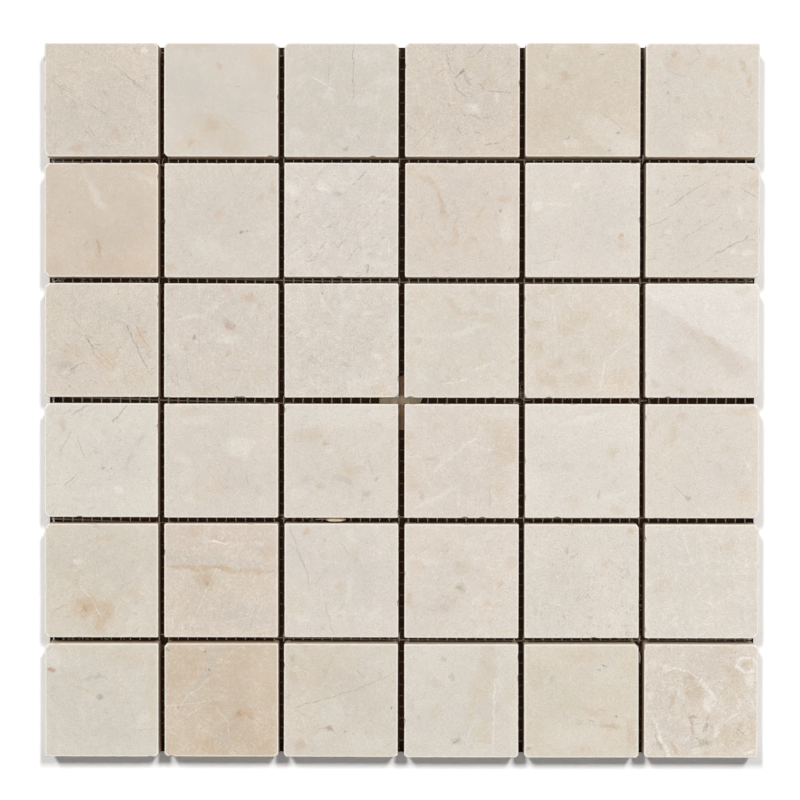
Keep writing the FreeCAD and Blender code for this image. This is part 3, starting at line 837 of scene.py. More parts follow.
STONES["r4_c5"] = dict(
    base=tone(224, 217, 208), warmth=0.1, chalk=0.5, lines=0.1, specks=0.4,
    marks=[
        cloud(2, 17.6, 8, 1.4, CHALK, 0.8, 14), cloud(-14, 15, 9, 3, FROST, 0.7),
        cloud(18, 12, 6, 5, FROST, 0.6), cloud(-22, -6.6, 4, 6, FROST, 0.6),
        cloud(13.3, 3.3, 1.2, 2.6, HONEY, 0.9, -10), cloud(19.4, 3.4, 0.9, 2.2, HONEY, 0.6),
        cloud(15.5, -20.6, 3.2, 1.8, HONEY, 0.9), cloud(-6, -2.3, 2.6, 2, ROSY, 0.6),
        cloud(-4, -17.4, 5, 2, PEACH, 0.4), cloud(6.9, -13.4, 0.7, 1, UMBER, 0.5),
        cloud(-15, -2, 4, 2, TAN, 0.3), cloud(14, -14.6, 6, 1.2, CHALK, 0.6, 10),
    ],
)
STONES["r4_c6"] = dict(
    base=tone(223, 214, 204), warmth=0.2, chalk=0.25, lines=0.2, specks=0.35,
    marks=[
        cloud(-9, 19, 2.4, 1.9, OCHRE, 0.38), cloud(-12.4, 12, 1.4, 4.4, HONEY, 0.9),
        cloud(-19.7, 15.6, 1.6, 2, TAN, 0.6), cloud(-5.6, -15.6, 1.5, 1.1, OCHRE, 0.75, -40),
        crack(-12.4, -10.2, -5.6, -16.4, UMBER, 0.5, 0.3), cloud(17, -14, 3, 4, PEACH, 0.6),
        cloud(10, 5, 2.4, 1.8, TAN, 0.5), cloud(-15, 8, 2, 1.6, ROSY, 0.6),
        crack(-2, -20, 1.6, -23.4, CHALK, 0.8, 0.4), cloud(2, -8, 4, 4, FROST, 0.4),
        crack(17.6, 2, 20, -4, CHALK, 0.6, 0.5), cloud(17, 21, 6, 1.4, PEACH, 0.6),
        crack(1.6, 1, 3.6, -0.6, OCHRE, 0.8, 0.4),
    ],
)
count_marks("r4")

# %% [markdown]
# ## The fifth row
# An iron stain runs out of the first chip's lower half, the second is banded with a rosy top, a
# grey seam and an orange one below it, and two long cracks run down the third.

# %% Fifth row, first three chips
STONES["r5_c1"] = dict(
    base=tone(211, 203, 190), warmth=0.2, chalk=0.3, lines=0.4, heading=35,
    marks=[
        cloud(-3, -11, 12, 9, TAN, 0.55), cloud(-6.8, -10.6, 4.6, 3.6, OCHRE, 0.85),
        cloud(1.4, -13, 3.6, 4, OCHRE, 0.75), cloud(-0.9, -19.4, 2.6, 4, OCHRE, 0.6),
        cloud(-6.6, -11.4, 1.4, 1.1, RUST, 0.6), cloud(-12.8, 3, 6, 5, TAN, 0.45),
        crack(-8.6, -2.4, -4.4, -8, CHALK, 0.5, 0.3), crack(-4.4, -8, 0.6, -16.6, CHALK, 0.5, 0.3),
        crack(-4, -18.6, -1.8, -23, CHALK, 0.4, 0.3), cloud(-10, 8.3, 1.7, 1.3, CHALK, 0.7),
        crack(6.8, -3, 15.4, 1, UMBER, 0.6), crack(9, 0.6, 12, -3, MOSS, 0.5, 0.5),
        crack(16.4, 11.4, 21.4, 15.4, UMBER, 0.5), crack(-20.6, -14, -15.4, -9.6, UMBER, 0.65, 0.34),
        cloud(2.4, 18.6, 4, 2.2, PEACH, 0.8, 20), cloud(-2.4, 23, 1.6, 0.7, UMBER, 0.5),
        cloud(13.3, -5, 2, 2.4, PEACH, 0.8), cloud(12, 14, 2.4, 2, HONEY, 0.6),
        cloud(-20, 18, 3, 3, TAN, 0.3), cloud(6, 6, 8, 5, SLATE, 0.2),
    ],
)
STONES["r5_c2"] = dict(
    base=tone(214, 201, 187), warmth=0.25, chalk=0.2, lines=0.2, threads=0.5, grit=1.2,
    marks=[
        cloud(0, 18, 34, 6, ROSY, 0.75, -2, 0.3), cloud(0, 8, 34, 2, SLATE, 0.5, -4, 0.4),
        cloud(-12, 5.6, 13, 1, OCHRE, 0.8, -2, 0.4), cloud(10, 4.2, 15, 1, OCHRE, 0.7, -5, 0.4),
        cloud(-6.8, 0.4, 3.4, 3.6, OCHRE, 0.75), cloud(-6, -1.4, 1, 0.9, RUST, 0.5),
        cloud(-2.6, -3.4, 3, 1.4, HONEY, 0.9, 20), crack(-10.8, -6.6, -14, -15.6, HONEY, 0.9, 0.6),
        crack(-3, 3, -13, -20, CHALK, 0.5, 0.35), cloud(19, 12, 3, 2.4, OCHRE, 0.4),
        cloud(16, 15.6, 2, 1.4, CHALK, 0.5), cloud(-11, 20.8, 3, 1.6, OCHRE, 0.4),
        crack(-4.8, 16.4, 3, 16, CHALK, 0.9, 0.6), cloud(0, 17.6, 5, 1, OCHRE, 0.3),
        cloud(12, -15, 14, 6, SLATE, 0.4), crack(12, -21, 15, -11, UMBER, 0.6, 0.32),
        cloud(-17, -9, 4, 3, PEACH, 0.5), cloud(8, -3, 9, 3, PEACH, 0.4),
    ],
)
STONES["r5_c3"] = dict(
    base=tone(217, 209, 200), warmth=0.15, chalk=0.4, lines=0.35, heading=60,
    marks=[
        crack(-21.6, 22.7, -18.8, 13, UMBER, 0.8, 0.32), crack(-18.8, 13, -14.9, 4.6, SOOT, 0.5, 0.3),
        crack(-14.9, 4.6, -13.6, -3.5, UMBER, 0.7, 0.3), crack(-0.7, 16.2, 3, 11.2, UMBER, 0.7, 0.3),
        crack(-7.3, -9, -5, -17, UMBER, 0.7, 0.3), crack(-5, -17, -3, -23.7, UMBER, 0.6, 0.3),
        crack(-11, -1, -6, 4, UMBER, 0.4), cloud(-15.3, 20.8, 0.9, 1.8, OCHRE, 0.7),
        cloud(4, 19, 2.2, 3, FROST, 0.8), cloud(3.4, -3.4, 1.6, 7.4, FROST, 0.8, -4),
        cloud(-16.5, -15.7, 3, 2.4, CHALK, 0.6), cloud(13, -14.4, 1.6, 5, FROST, 0.7, -40),
        cloud(-1, -14.4, 3.2, 3.2, FROST, 0.6, 0, 0.3), cloud(-1, -14.6, 1.5, 1.4, TAN, 0.8),
        cloud(5.4, 10, 2, 2.4, TAN, 0.5), cloud(0, -4, 2, 3, PEACH, 0.5),
        cloud(-19, -10, 3, 4, TAN, 0.35), cloud(15, 12, 2, 1.6, CHALK, 0.5),
    ],
)
count_marks("r5")

# %% [markdown]
# The rest of the row is plain. Its chips differ by the numbers before the marks, which set the
# warmth, the chalk, the hairlines and the grain that noise gives each of them.

# %% Fifth row, last three chips
STONES["r5_c4"] = dict(
    base=tone(220, 210, 200), warmth=0.2, chalk=0.35, lines=0.25, threads=0.5,
    marks=[
        cloud(0, -3.2, 2, 1.8, MOSS, 0.8), cloud(-0.4, -3.2, 0.7, 0.6, UMBER, 0.7),
        cloud(-7.8, -9.4, 5.4, 3, ROSY, 0.9), cloud(-7.4, -10.4, 2, 1.2, RUST, 0.25),
        cloud(0, 5.4, 4, 3, TAN, 0.5), cloud(-1.4, 7.4, 1.3, 1.2, UMBER, 0.25),
        cloud(-7.8, 13.4, 3.2, 2.2, ROSY, 0.9), cloud(-22.2, -8, 1.6, 2.6, OCHRE, 0.5),
        cloud(16.2, -1.4, 1.2, 1.1, OCHRE, 0.6), cloud(11, -9.8, 1.9, 1.7, PEACH, 0.9),
        cloud(-18, 6, 3, 2, PEACH, 0.5), cloud(21, 8, 1.4, 2.4, PEACH, 0.6),
        cloud(21, -21.6, 3, 1.4, PEACH, 0.7), cloud(-14.2, 8.4, 2.4, 2, FROST, 0.7),
        cloud(5.4, -8, 4, 4, FROST, 0.4), crack(-9.8, -5.6, -3, -9, UMBER, 0.4),
    ],
)
STONES["r5_c5"] = dict(
    base=tone(221, 213, 203), warmth=0.1, chalk=0.35, lines=0.5, heading=-60, grit=1.25, specks=0.7,
    marks=[
        cloud(-6.2, 13.4, 0.7, 1.6, UMBER, 0.5, -30), cloud(-3.4, 9.8, 1.5, 0.7, OCHRE, 0.6, 20),
        cloud(19.7, 5.6, 0.8, 1.2, SLATE, 1, 20), cloud(16.6, 6, 0.5, 1, SLATE, 0.8),
        cloud(-17.3, -14.4, 0.7, 0.6, UMBER, 0.6), cloud(3.6, -15.4, 0.9, 1.2, UMBER, 0.35),
        cloud(18.4, -19.4, 1.6, 0.8, UMBER, 0.35), cloud(21.4, 21.4, 1.6, 1.3, OCHRE, 0.6),
        cloud(10, 7.6, 1.6, 1.4, PEACH, 0.7), crack(-5.4, 14, -6.4, 11, UMBER, 0.6),
        cloud(-10, 3, 6, 4, ROSY, 0.35), crack(-14, -8.6, -6, -11, CHALK, 0.5, 0.4),
    ],
)
STONES["r5_c6"] = dict(
    base=tone(222, 214, 204), warmth=0.12, chalk=0.3, lines=0.1, threads=0.85,
    marks=[
        cloud(9.8, 14.8, 4.4, 2, TAN, 0.6, 30), cloud(12.4, -0.7, 2, 1.9, TAN, 0.5),
        cloud(-17.4, -2, 3.4, 4, PEACH, 0.6), crack(-7.4, 17, -4.4, 8, CHALK, 0.9, 0.45),
        crack(-4.4, 8, 0, 3, CHALK, 0.7, 0.4), cloud(19, 6.4, 1.1, 1, CHALK, 0.8),
        crack(-13.6, -18, -10, -15, CHALK, 0.7, 0.4), crack(-1, -7, 8, -12, CHALK, 0.5, 0.35),
        cloud(19, 2, 3, 1.4, ROSY, 0.5),
    ],
)
count_marks("r5")

# %% [markdown]
# ## The bottom row
# The second chip is the darkest of the sheet, a toffee brown under thin cream veins. Its own
# base colour does most of that, and the marks only add the veins and a few spots.

# %% Sixth row, first three chips
STONES["r6_c1"] = dict(
    base=tone(212, 205, 194), warmth=0.15, chalk=0.35, lines=0.25, specks=0.3,
    marks=[
        cloud(-21.3, 13, 1.1, 1.1, RUST, 0.95, 0, 0.3), cloud(-1, 1.6, 1, 1.2, UMBER, 0.8, 0, 0.4),
        crack(-12.8, 6.6, -2.6, 2, TAN, 0.9, 0.8), cloud(-3.4, 9, 5, 0.9, UMBER, 0.4, 8),
        cloud(12, 18, 11, 4, TAN, 0.5), cloud(21.6, 4, 3, 16, TAN, 0.4),
        cloud(-6, 22, 14, 1.4, HONEY, 0.6), crack(8.5, -15.9, 15, -13, SLATE, 0.95, 0.36),
        crack(15, -13, 21.6, -12.4, UMBER, 0.5, 0.3), cloud(-20, 5.6, 1.4, 1, SLATE, 0.6),
        cloud(-9, -11.6, 1.2, 1, HONEY, 0.8), cloud(8, 4, 3, 2, ROSY, 0.6),
        cloud(-20.6, 18, 4, 3.4, FROST, 0.7), cloud(-14, 12, 3, 3, HONEY, 0.4),
    ],
)
STONES["r6_c2"] = dict(
    base=tone(203, 186, 164), warmth=0.5, chalk=0.05, lines=0.12, threads=0.35, grit=0.9,
    marks=[
        cloud(-5, 14, 1.7, 6.6, SLATE, 0.6, -20), cloud(-12, 4, 1.6, 8.4, SLATE, 0.5, -42),
        crack(-22.8, -2.4, -4, -0.4, CHALK, 0.36, 0.36), crack(-4, -0.4, 2.6, -9, CHALK, 0.36, 0.4),
        crack(2.6, -9, 3.4, -15, CHALK, 0.4, 0.35), crack(-17.6, -8.6, -6.4, -2, CHALK, 0.36, 0.36),
        crack(-17.6, -2, -5, 9, CHALK, 0.36, 0.34), cloud(8, -5.8, 1.6, 1.4, RUST, 0.95, 0, 0.4),
        cloud(8.6, -6, 3, 2.4, OCHRE, 0.6), cloud(12.3, -7.6, 1, 0.9, RUST, 0.7),
        cloud(12, -5, 3, 2, OCHRE, 0.4), cloud(-4.8, 13.6, 0.6, 0.6, SOOT, 0.9, 0, 0.3),
        cloud(-6.5, 21.3, 0.8, 0.5, SOOT, 0.8, 0, 0.3), cloud(-18.4, -2.2, 0.4, 0.4, SOOT, 0.7, 0, 0.3),
        cloud(-23, 21.6, 0.7, 0.6, SOOT, 0.8), cloud(-3, -1.4, 1.4, 0.9, OCHRE, 0.7),
        cloud(-5.6, -19.4, 6, 2.8, OCHRE, 0.6), cloud(0, -16.4, 3, 1.4, SLATE, 0.7),
        cloud(18, 8, 8, 10, TAN, 0.35), cloud(-15, 15, 6, 7, OCHRE, 0.22),
        cloud(20, -12, 4, 5, OCHRE, 0.25), cloud(16, -19, 6, 3, OCHRE, 0.3),
        cloud(1, 21.6, 4, 2, SLATE, 0.3),
    ],
)
STONES["r6_c3"] = dict(
    base=tone(213, 205, 193), warmth=0.3, chalk=0.3, lines=0.35, heading=35, specks=0.4,
    marks=[
        cloud(-11, 15, 15, 11, TAN, 0.45), cloud(2.9, 8.9, 3.4, 3, ROSY, 0.9),
        cloud(-10, 8.6, 3, 3, ROSY, 0.7), crack(-19.9, -3, -8, 0.4, RUST, 0.8, 0.3),
        crack(-8, 0.4, 6.2, 4.6, UMBER, 0.75, 0.26), crack(6.2, 4.6, 22.4, 11.8, UMBER, 0.75, 0.24),
        crack(-19.9, -3, -14.9, -6.3, OCHRE, 0.8, 0.34), crack(-3.5, 17.7, -7.3, 8.9, UMBER, 0.6),
        crack(6.6, 12.8, 10.6, 9.6, UMBER, 0.65), cloud(2.2, -13.3, 0.55, 0.55, SOOT, 1, 0, 0.3),
        cloud(21.6, -3, 0.45, 0.45, SOOT, 1, 0, 0.3), cloud(-5.4, -12.4, 1.7, 0.7, UMBER, 0.8, -20),
        cloud(-17.4, -19.4, 2, 2, OCHRE, 0.6), cloud(-10.8, -13, 2, 1.6, HONEY, 0.9),
        cloud(-20, 17, 1.4, 2, UMBER, 0.3), cloud(-20, 10, 1.4, 3, OCHRE, 0.35),
        cloud(-2, -5.8, 6, 4, FROST, 0.5), cloud(10, -5, 8, 4, ROSY, 0.4),
        cloud(12, -18, 8, 3, FROST, 0.45), cloud(18.6, 18.6, 1.4, 0.8, PEACH, 0.8),
    ],
)
count_marks("r6")

# %% [markdown]
# The last chip is a breccia: broken lumps of tan and white, healed with calcite. It has the most
# marks, from the largest lump to the thinnest vein, since each is drawn over those before it.

# %% Sixth row, last three chips
STONES["r6_c4"] = dict(
    base=tone(218, 211, 201), warmth=0.1, chalk=0.35, lines=0.15,
    marks=[
        cloud(10, 9.8, 4.6, 8.4, TAN, 0.55, -8, 0.3), cloud(7.6, 3, 5.4, 2.6, HONEY, 0.6, -20, 0.35),
        cloud(4.6, -3.6, 2.2, 5, HONEY, 0.65, -12, 0.35),
        cloud(9.4, -13.6, 5.2, 4.6, HONEY, 0.6, 30, 0.25), cloud(11, 20, 3, 4, TAN, 0.4),
        cloud(11, -4.6, 4, 5, ROSY, 0.6, 0, 0.3), crack(14.2, 14.6, 13.9, -23, CHALK, 0.7, 0.4),
        crack(14.2, 15.4, 14.4, 9, UMBER, 0.4, 0.6), crack(4.8, -10.4, 2, -17, CHALK, 0.6, 0.3),
        cloud(15.6, -2.4, 1.3, 2.4, OCHRE, 0.35), cloud(18, -12, 2.8, 8, ROSY, 0.5),
        cloud(20, 2, 3.4, 2.4, HONEY, 0.5, 30), cloud(-10.6, -5, 2, 2.4, HONEY, 0.7),
        cloud(-2.2, -17.2, 2.2, 1.4, MOSS, 0.8), crack(-3.6, -18, -0.6, -16.6, SOOT, 0.7, 0.5),
        crack(-4, -13.6, 0, -14.6, HONEY, 0.7, 0.6), crack(-19, 21.8, -16, 21.2, UMBER, 0.6),
        cloud(-7, 17.6, 1.4, 1, MOSS, 0.7, -20), cloud(-3.6, 10.4, 1.6, 0.8, MOSS, 0.7),
        cloud(-17.8, -7.8, 0.9, 0.8, UMBER, 0.35), cloud(-21, -1.4, 1.2, 2.4, RUST, 0.2),
        cloud(-10.6, 7.4, 3.6, 1.6, ROSY, 0.8, -25), cloud(17, 19.6, 2, 1.2, ROSY, 0.8),
        cloud(-17, -20.6, 5, 2, TAN, 0.3), crack(-8.4, -8.6, -7.8, -12.4, UMBER, 0.4),
    ],
)
STONES["r6_c5"] = dict(
    base=tone(217, 208, 193), warmth=0.25, chalk=0.15, lines=0.15, specks=0.3,
    marks=[
        cloud(8.7, 15.4, 0.55, 0.5, SOOT, 1, 0, 0.3), cloud(10.2, 15.4, 0.55, 0.45, SOOT, 1, 0, 0.3),
        cloud(7.1, 13.3, 0.6, 0.5, SOOT, 0.9, 0, 0.3), cloud(10, 12, 5, 4, FROST, 0.5),
        cloud(-12, 9.3, 1.4, 1.6, SLATE, 0.9), cloud(12, -10.2, 4, 1.2, OCHRE, 0.7),
        cloud(21, -14, 1.8, 6, OCHRE, 0.45), cloud(4.6, -4, 5.4, 1.5, PEACH, 0.9, -8),
        crack(-8.4, -4, -5, -7.4, OCHRE, 0.6, 0.5), crack(7, -2.4, 10.6, -4, OCHRE, 0.6, 0.4),
        cloud(0.3, -9.6, 0.9, 0.6, UMBER, 0.6), cloud(4.6, -8.2, 0.6, 0.4, SOOT, 0.8, 0, 0.3),
        cloud(14.3, -6.2, 0.9, 0.5, SOOT, 0.7, 0, 0.3), cloud(-3.6, -15, 12, 5, PALE, 0.6),
        cloud(-22, -20.4, 0.9, 0.9, UMBER, 0.7), cloud(-20, -14, 3, 6, HONEY, 0.6),
        cloud(0, 19, 6, 2.4, PEACH, 0.7), cloud(-19, 10, 3, 5, PEACH, 0.5),
        cloud(20, 15, 3, 6, HONEY, 0.6), cloud(-6, -1, 4, 3, HONEY, 0.5),
        cloud(1, -21, 3, 2, PEACH, 0.5),
    ],
)
STONES["r6_c6"] = dict(
    base=tone(220, 209, 197), warmth=0.25, chalk=0.3, lines=0.4, heading=60, threads=0.8, grit=1.3,
    specks=0.4,
    marks=[
        cloud(14, -14.4, 7.6, 5.4, TAN, 0.8, 20, 0.35), cloud(13.2, 10.4, 4.4, 6.4, TAN, 0.65),
        cloud(13.8, 4, 5, 4, HONEY, 0.45), cloud(-10.4, 12, 4.4, 1.6, HONEY, 0.6, 20),
        cloud(-3.4, 5.6, 4.4, 5.8, OCHRE, 0.48, 20, 0.3), cloud(-5.6, 8.8, 2, 1.4, UMBER, 0.25),
        cloud(-7.5, 3.2, 1.7, 3.2, FROST, 0.75, 18, 0.25),
        cloud(-10.2, -2.4, 1.2, 4.6, PALE, 0.7, 8, 0.3), crack(-10.8, 4.6, -12.2, -1, OCHRE, 1, 1.2),
        crack(-12.2, -1, -11.9, -6, OCHRE, 1, 0.9), cloud(-13.1, 4.1, 1.2, 1.2, CHALK, 1, 0, 0.3),
        crack(-15, 13.2, -10.2, 14.2, CHALK, 0.9, 0.6), crack(-10.2, 14.2, -5.4, 12.4, CHALK, 1, 0.6),
        crack(-5.4, 12.4, -1, 9.4, CHALK, 0.7, 0.6), crack(-1, 9.4, 2.8, 5.1, CHALK, 0.8, 1.3),
        crack(2.8, 5.1, 6.9, -0.2, CHALK, 0.8, 1.2), cloud(3.2, -0.9, 1.9, 3, CHALK, 1, -20, 0.2),
        crack(6.9, -0.2, 2.6, -5, CHALK, 0.8, 0.7), cloud(-0.4, -10.4, 1.8, 4, PALE, 0.8, 8, 0.3),
        cloud(-5.8, -9.2, 2.6, 1.4, CHALK, 0.5, -15), cloud(6.1, -12.6, 1.1, 2.8, CHALK, 0.85, -8, 0.3),
        cloud(9.6, -8.6, 3, 1.8, FROST, 0.6, 20), crack(-5.6, -6.8, -1.6, -6.2, UMBER, 0.9, 0.9),
        crack(-4.2, -7.6, -3.2, -13.4, UMBER, 0.9, 0.9),
        crack(-3.2, -13.4, -0.2, -17.8, UMBER, 0.9, 0.8), crack(2.9, -5, 1.3, -12.6, UMBER, 0.9, 0.9),
        cloud(1.3, -17.6, 2.4, 1.3, UMBER, 0.75, 10), cloud(4, -10.4, 0.9, 1.6, RUST, 0.4),
        cloud(-4.4, -17.2, 3, 2.4, SLATE, 0.5, 0, 0.3), crack(-7.4, -18, -4.6, -14.4, CHALK, 0.9, 0.5),
        cloud(-2, -20.8, 2, 1.8, CHALK, 0.75, 20, 0.3), crack(-20.6, -6.4, -17.8, -13.4, CHALK, 1, 0.6),
        crack(-17.8, -13.4, -14.6, -20.6, CHALK, 1, 1),
        crack(-14.6, -20.6, -13.4, -23.8, CHALK, 1, 0.8),
        crack(-19.4, -13.6, -16.6, -20.8, UMBER, 1, 0.9),
        crack(-12.6, -17.4, -10.4, -22.4, OCHRE, 1, 1.1),
        crack(-10.8, -17.6, -8.4, -21.4, PALE, 1, 0.9), crack(14.6, 15.4, 17.4, 18.8, CHALK, 1, 0.9),
        crack(17.4, 18.8, 21.4, 19, CHALK, 1, 0.8), crack(21.4, 19, 23.2, 15.6, CHALK, 1, 0.8),
        crack(14.6, 15.4, 18.4, 12.2, CHALK, 1, 1), crack(18.4, 12.2, 22.8, 12.8, CHALK, 1, 1),
        cloud(19.4, 15.6, 2.2, 2, PEACH, 0.9, 0, 0.3), crack(17, 14.4, 19, 17.2, MOSS, 0.7, 0.6),
        cloud(20.6, 9, 1.8, 2.6, CHALK, 0.95, 0, 0.3), cloud(19.2, 4.6, 1.2, 1.2, OCHRE, 0.35),
        cloud(20.8, -0.4, 2, 4, FROST, 0.7), crack(11.4, -7.6, 16, -4.8, CHALK, 0.9, 0.5),
        crack(16, -4.8, 15, -1.6, CHALK, 0.7, 0.5), crack(15, -10.6, 19, -15, UMBER, 0.6, 0.5),
        crack(16, -23.2, 23.4, -20.4, CHALK, 0.9, 0.6), cloud(21.6, -12, 1.6, 7, PEACH, 0.5),
        cloud(-20.8, 15.6, 1.4, 1.8, CHALK, 0.7), cloud(-21.8, 2.8, 1.5, 1.6, CHALK, 0.8),
        cloud(-22.4, 6, 1, 1.4, UMBER, 0.3), cloud(-16, 4, 5, 9, ROSY, 0.5),
        cloud(3, 16, 9, 5, ROSY, 0.45), cloud(9, 21.6, 3.4, 1.8, TAN, 0.6),
        cloud(-14, -10, 5, 3, SLATE, 0.3), crack(7, 6.4, 9, 5, CHALK, 0.8, 0.5),
        cloud(-14.4, 15.4, 0.9, 0.9, CHALK, 0.8),
    ],
)
print("stones", len(STONES), "marks", sum(len(stone["marks"]) for stone in STONES.values()))

# %% [markdown]
# ## The chips
# A chip is a sawn square with a ground edge round its face. The packed model has it as eight
# flat sides under a plain bevel. A real one is bruised: its edge is nibbled by the saw, and here
# and there a flake is gone. So each chip is modelled again from its own outline. A bevel alone
# would be too even for that, so the outline is cut into short lengths, whose points can be moved
# one by one later.

# %% A chip's outline
edge_step = 0.75 * MM


def chip_outline(node):
    """The flat underside of a packed chip, as the one face of a bmesh."""
    shape = bmesh.new()
    shape.from_mesh(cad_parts[node].data)
    bmesh.ops.remove_doubles(shape, verts=shape.verts, dist=0.001 * MM)
    bmesh.ops.dissolve_limit(shape, angle_limit=math.radians(2), verts=shape.verts, edges=shape.edges)
    base = min(shape.faces, key=lambda face: face.calc_center_median().z)
    others = [face for face in shape.faces if face is not base]
    bmesh.ops.delete(shape, geom=others, context="FACES")
    bmesh.ops.delete(shape, geom=[base], context="FACES_ONLY")
    for edge in list(shape.edges):
        cuts = max(2, round(edge.calc_length() / edge_step))
        bmesh.ops.subdivide_edges(shape, edges=[edge], cuts=cuts)
    bmesh.ops.contextual_create(shape, geom=shape.edges[:])
    shape.faces.ensure_lookup_table()
    return shape, shape.faces[0]


print("outlines are cut every", edge_step / MM, "mm")

# %% [markdown]
# The edge loses stone in two ways: a fine nibble all along it, which is noise at two sizes, and
# a few flakes, which are shallow bowls round a point of the edge. One function says how much is
# gone at a point, and another moves a point inwards.

# %% Wear
flake_reach = 1.3 * MM


def bitten(point, flakes, chance_place):
    """How much of the edge is gone at a point, in metres."""
    flat = point * Vector((1, 1, 0))
    nibble = max(0.0, noise.noise(flat * 620 + chance_place) - 0.12) * 0.16 * MM
    nibble += max(0.0, noise.noise(flat * 1500 + chance_place)) * 0.06 * MM
    for spot, depth in flakes:
        away = (flat - spot * Vector((1, 1, 0))).length / flake_reach
        nibble = max(nibble, depth * max(0.0, 1 - away * away))
    return nibble


def drawn_in(point, middle, amount):
    """A point of a chip's rim, moved towards the chip's middle by an amount."""
    away = (point - middle) * Vector((1, 1, 0))
    return point - away * (amount / max(abs(away.x), abs(away.y)))


print("flakes reach", flake_reach / MM, "mm")

# %% [markdown]
# The outline is raised to the face in rings. Each ring is an extrusion of the one face that is
# left, drawn in and set to its depth, and is told how worn it is; the old face inside is deleted
# each time, so that the shell stays empty. Then the worn rings are pushed back. The joints look
# a little narrower in the photograph than the packed ones, so the sides inside the sheet are
# made fuller, and the cut corners along the top and bottom rims are eased to two thirds.

# %% A worn chip
arris = 0.35 * MM
fuller = 0.12 * MM
# The right-hand sides of the fourth and fifth columns stand out a little more than the rest.
bolder = {"4": 0.2 * MM, "5": 0.3 * MM}
half_chip = 24 * MM
# A side that lies further out than this is a side of the sheet and stays where it is.
rim_start = 149 * MM
# A corner is eased where it is as far up or down as this, unless it is a corner of the sheet.
rim_corner_start = 146 * MM
sheet_corner_start = 148 * MM
# How much of a cut corner is given back along each axis, and the largest cut that is eased.
given_back = 0.16
most_missing = 2 * MM
whole_corner = "tile_r2_c1"
# The rings of the rim from its foot inwards: the step in from the last ring and the depth below
# the face, both in arrises, and how worn the ring is.
RIM = ((0, 3.0, 0.0), (0, 1.0, 0.6), (0.3, 0.35, 1.0), (0.7, 0, 0.8), (2.6, 0, 0))


def worn_chip(node, seed):
    """A chip with a nibbled ground edge, cut from its packed outline."""
    low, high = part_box(node)
    middle = (low + high) / 2
    chance = random.Random(seed)
    chance_place = Vector([chance.uniform(0, 90) for _ in range(3)])
    shape, base = chip_outline(node)
    right = bolder.get(node[-1], fuller)
    half = (high - low) / 2
    for vert in shape.verts:
        away = vert.co - middle
        missing = half.x + half.y - abs(away.x) - abs(away.y)
        at_rim = abs(vert.co.y) > rim_corner_start and abs(vert.co.x) < sheet_corner_start
        if missing < most_missing and (at_rim or node == whole_corner and min(away.x, away.y) > 0):
            for axis in (0, 1):
                reach = min(half[axis], abs(away[axis]) + given_back * missing)
                vert.co[axis] = middle[axis] + math.copysign(reach, away[axis])
        away = vert.co - middle
        for axis in (0, 1):
            if abs(vert.co[axis]) < rim_start:
                growth = right if axis == 0 and away.x > 0 else fuller
                vert.co[axis] += growth * away[axis] / half_chip
    edge_points = [vert.co.copy() for vert in shape.verts]
    flakes = []
    for _ in range(chance.randint(1, 4)):
        flakes.append((chance.choice(edge_points), chance.uniform(0.25, 0.55) * MM))

    worn = shape.verts.layers.float.new("worn")
    face = base
    for step, depth, wear in RIM:
        grown = bmesh.ops.extrude_face_region(shape, geom=[face])
        if face is not base:
            bmesh.ops.delete(shape, geom=[face], context="FACES_ONLY")
        face = [part for part in grown["geom"] if isinstance(part, bmesh.types.BMFace)][0]
        for vert in face.verts:
            vert.co = drawn_in(vert.co, middle, step * arris)
            vert.co.z = high.z - depth * arris
            vert[worn] = wear

    for vert in shape.verts:
        if vert[worn] > 0:
            bite = bitten(vert.co, flakes, chance_place)
            vert.co = drawn_in(vert.co, middle, bite * vert[worn])
            vert.co.z -= bite * min(1, (high.z - vert.co.z) / arris)
    bmesh.ops.recalc_face_normals(shape, faces=shape.faces)
    return shape


print("rings of a chip", len(RIM))

# %% [markdown]
# Every piece rides on the sheet's one body, takes its finish, and says which packed nodes it
# stands in for, so that they are hidden.

# %% A piece in place of packed nodes
def new_piece(shape, name, material, replaced):
    """Makes a piece of a bmesh, in place of one or more packed nodes."""
    mesh = bpy.data.meshes.new(name)
    shape.to_mesh(mesh)
    shape.free()
    mesh.materials.append(material)
    piece = bpy.data.objects.new(name, mesh)
    scene.collection.objects.link(piece)
    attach(piece, "root")
    if replaced:
        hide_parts(*replaced)
    return piece


print("packed nodes to stand in for", len(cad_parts))

# %% [markdown]
# Every chip takes the place of its packed twin, with a finish that is made for it alone. The
# marks are placed from the middle of the chip's face, so the finish is told where that is.

# %% Lay the chips
triangles = 0
for seed, (spot, stone) in enumerate(STONES.items()):
    node = "tile_" + spot
    low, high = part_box(node)
    face_middle = ((low.x + high.x) / 2, (low.y + high.y) / 2, high.z)
    finish = marble("marble_" + spot, face_middle, 20 * seed, **stone)
    chip = new_piece(worn_chip(node, seed), "chip_" + spot, finish, [node])
    triangles += sum(len(face.vertices) - 2 for face in chip.data.polygons)
print("chips laid", len(STONES), "triangles", triangles)

# %% [markdown]
# ## The net
# The net is a leno weave of glass yarn. Across the sheet run single flat wefts. Up the sheet run
# the warps in pairs: one yarn of a pair passes over every weft and the other under it, and the
# two change sides between wefts, which locks the net so that it can't slide open. A straight
# yarn is made once, cut into short runs, copied to every place, and then bent by a formula that
# follows the wefts, which sag a little across the sheet.

# %% Yarns
warp_pitch = 4.115 * MM
weft_pitch = 4.79 * MM
warp_width = 0.6 * MM
weft_width = 0.78 * MM
yarn_thickness = 0.19 * MM
warp_sides = 4
weft_sides = 6
weft_skew = math.radians(0.63)
weft_bow = 2.15 * MM

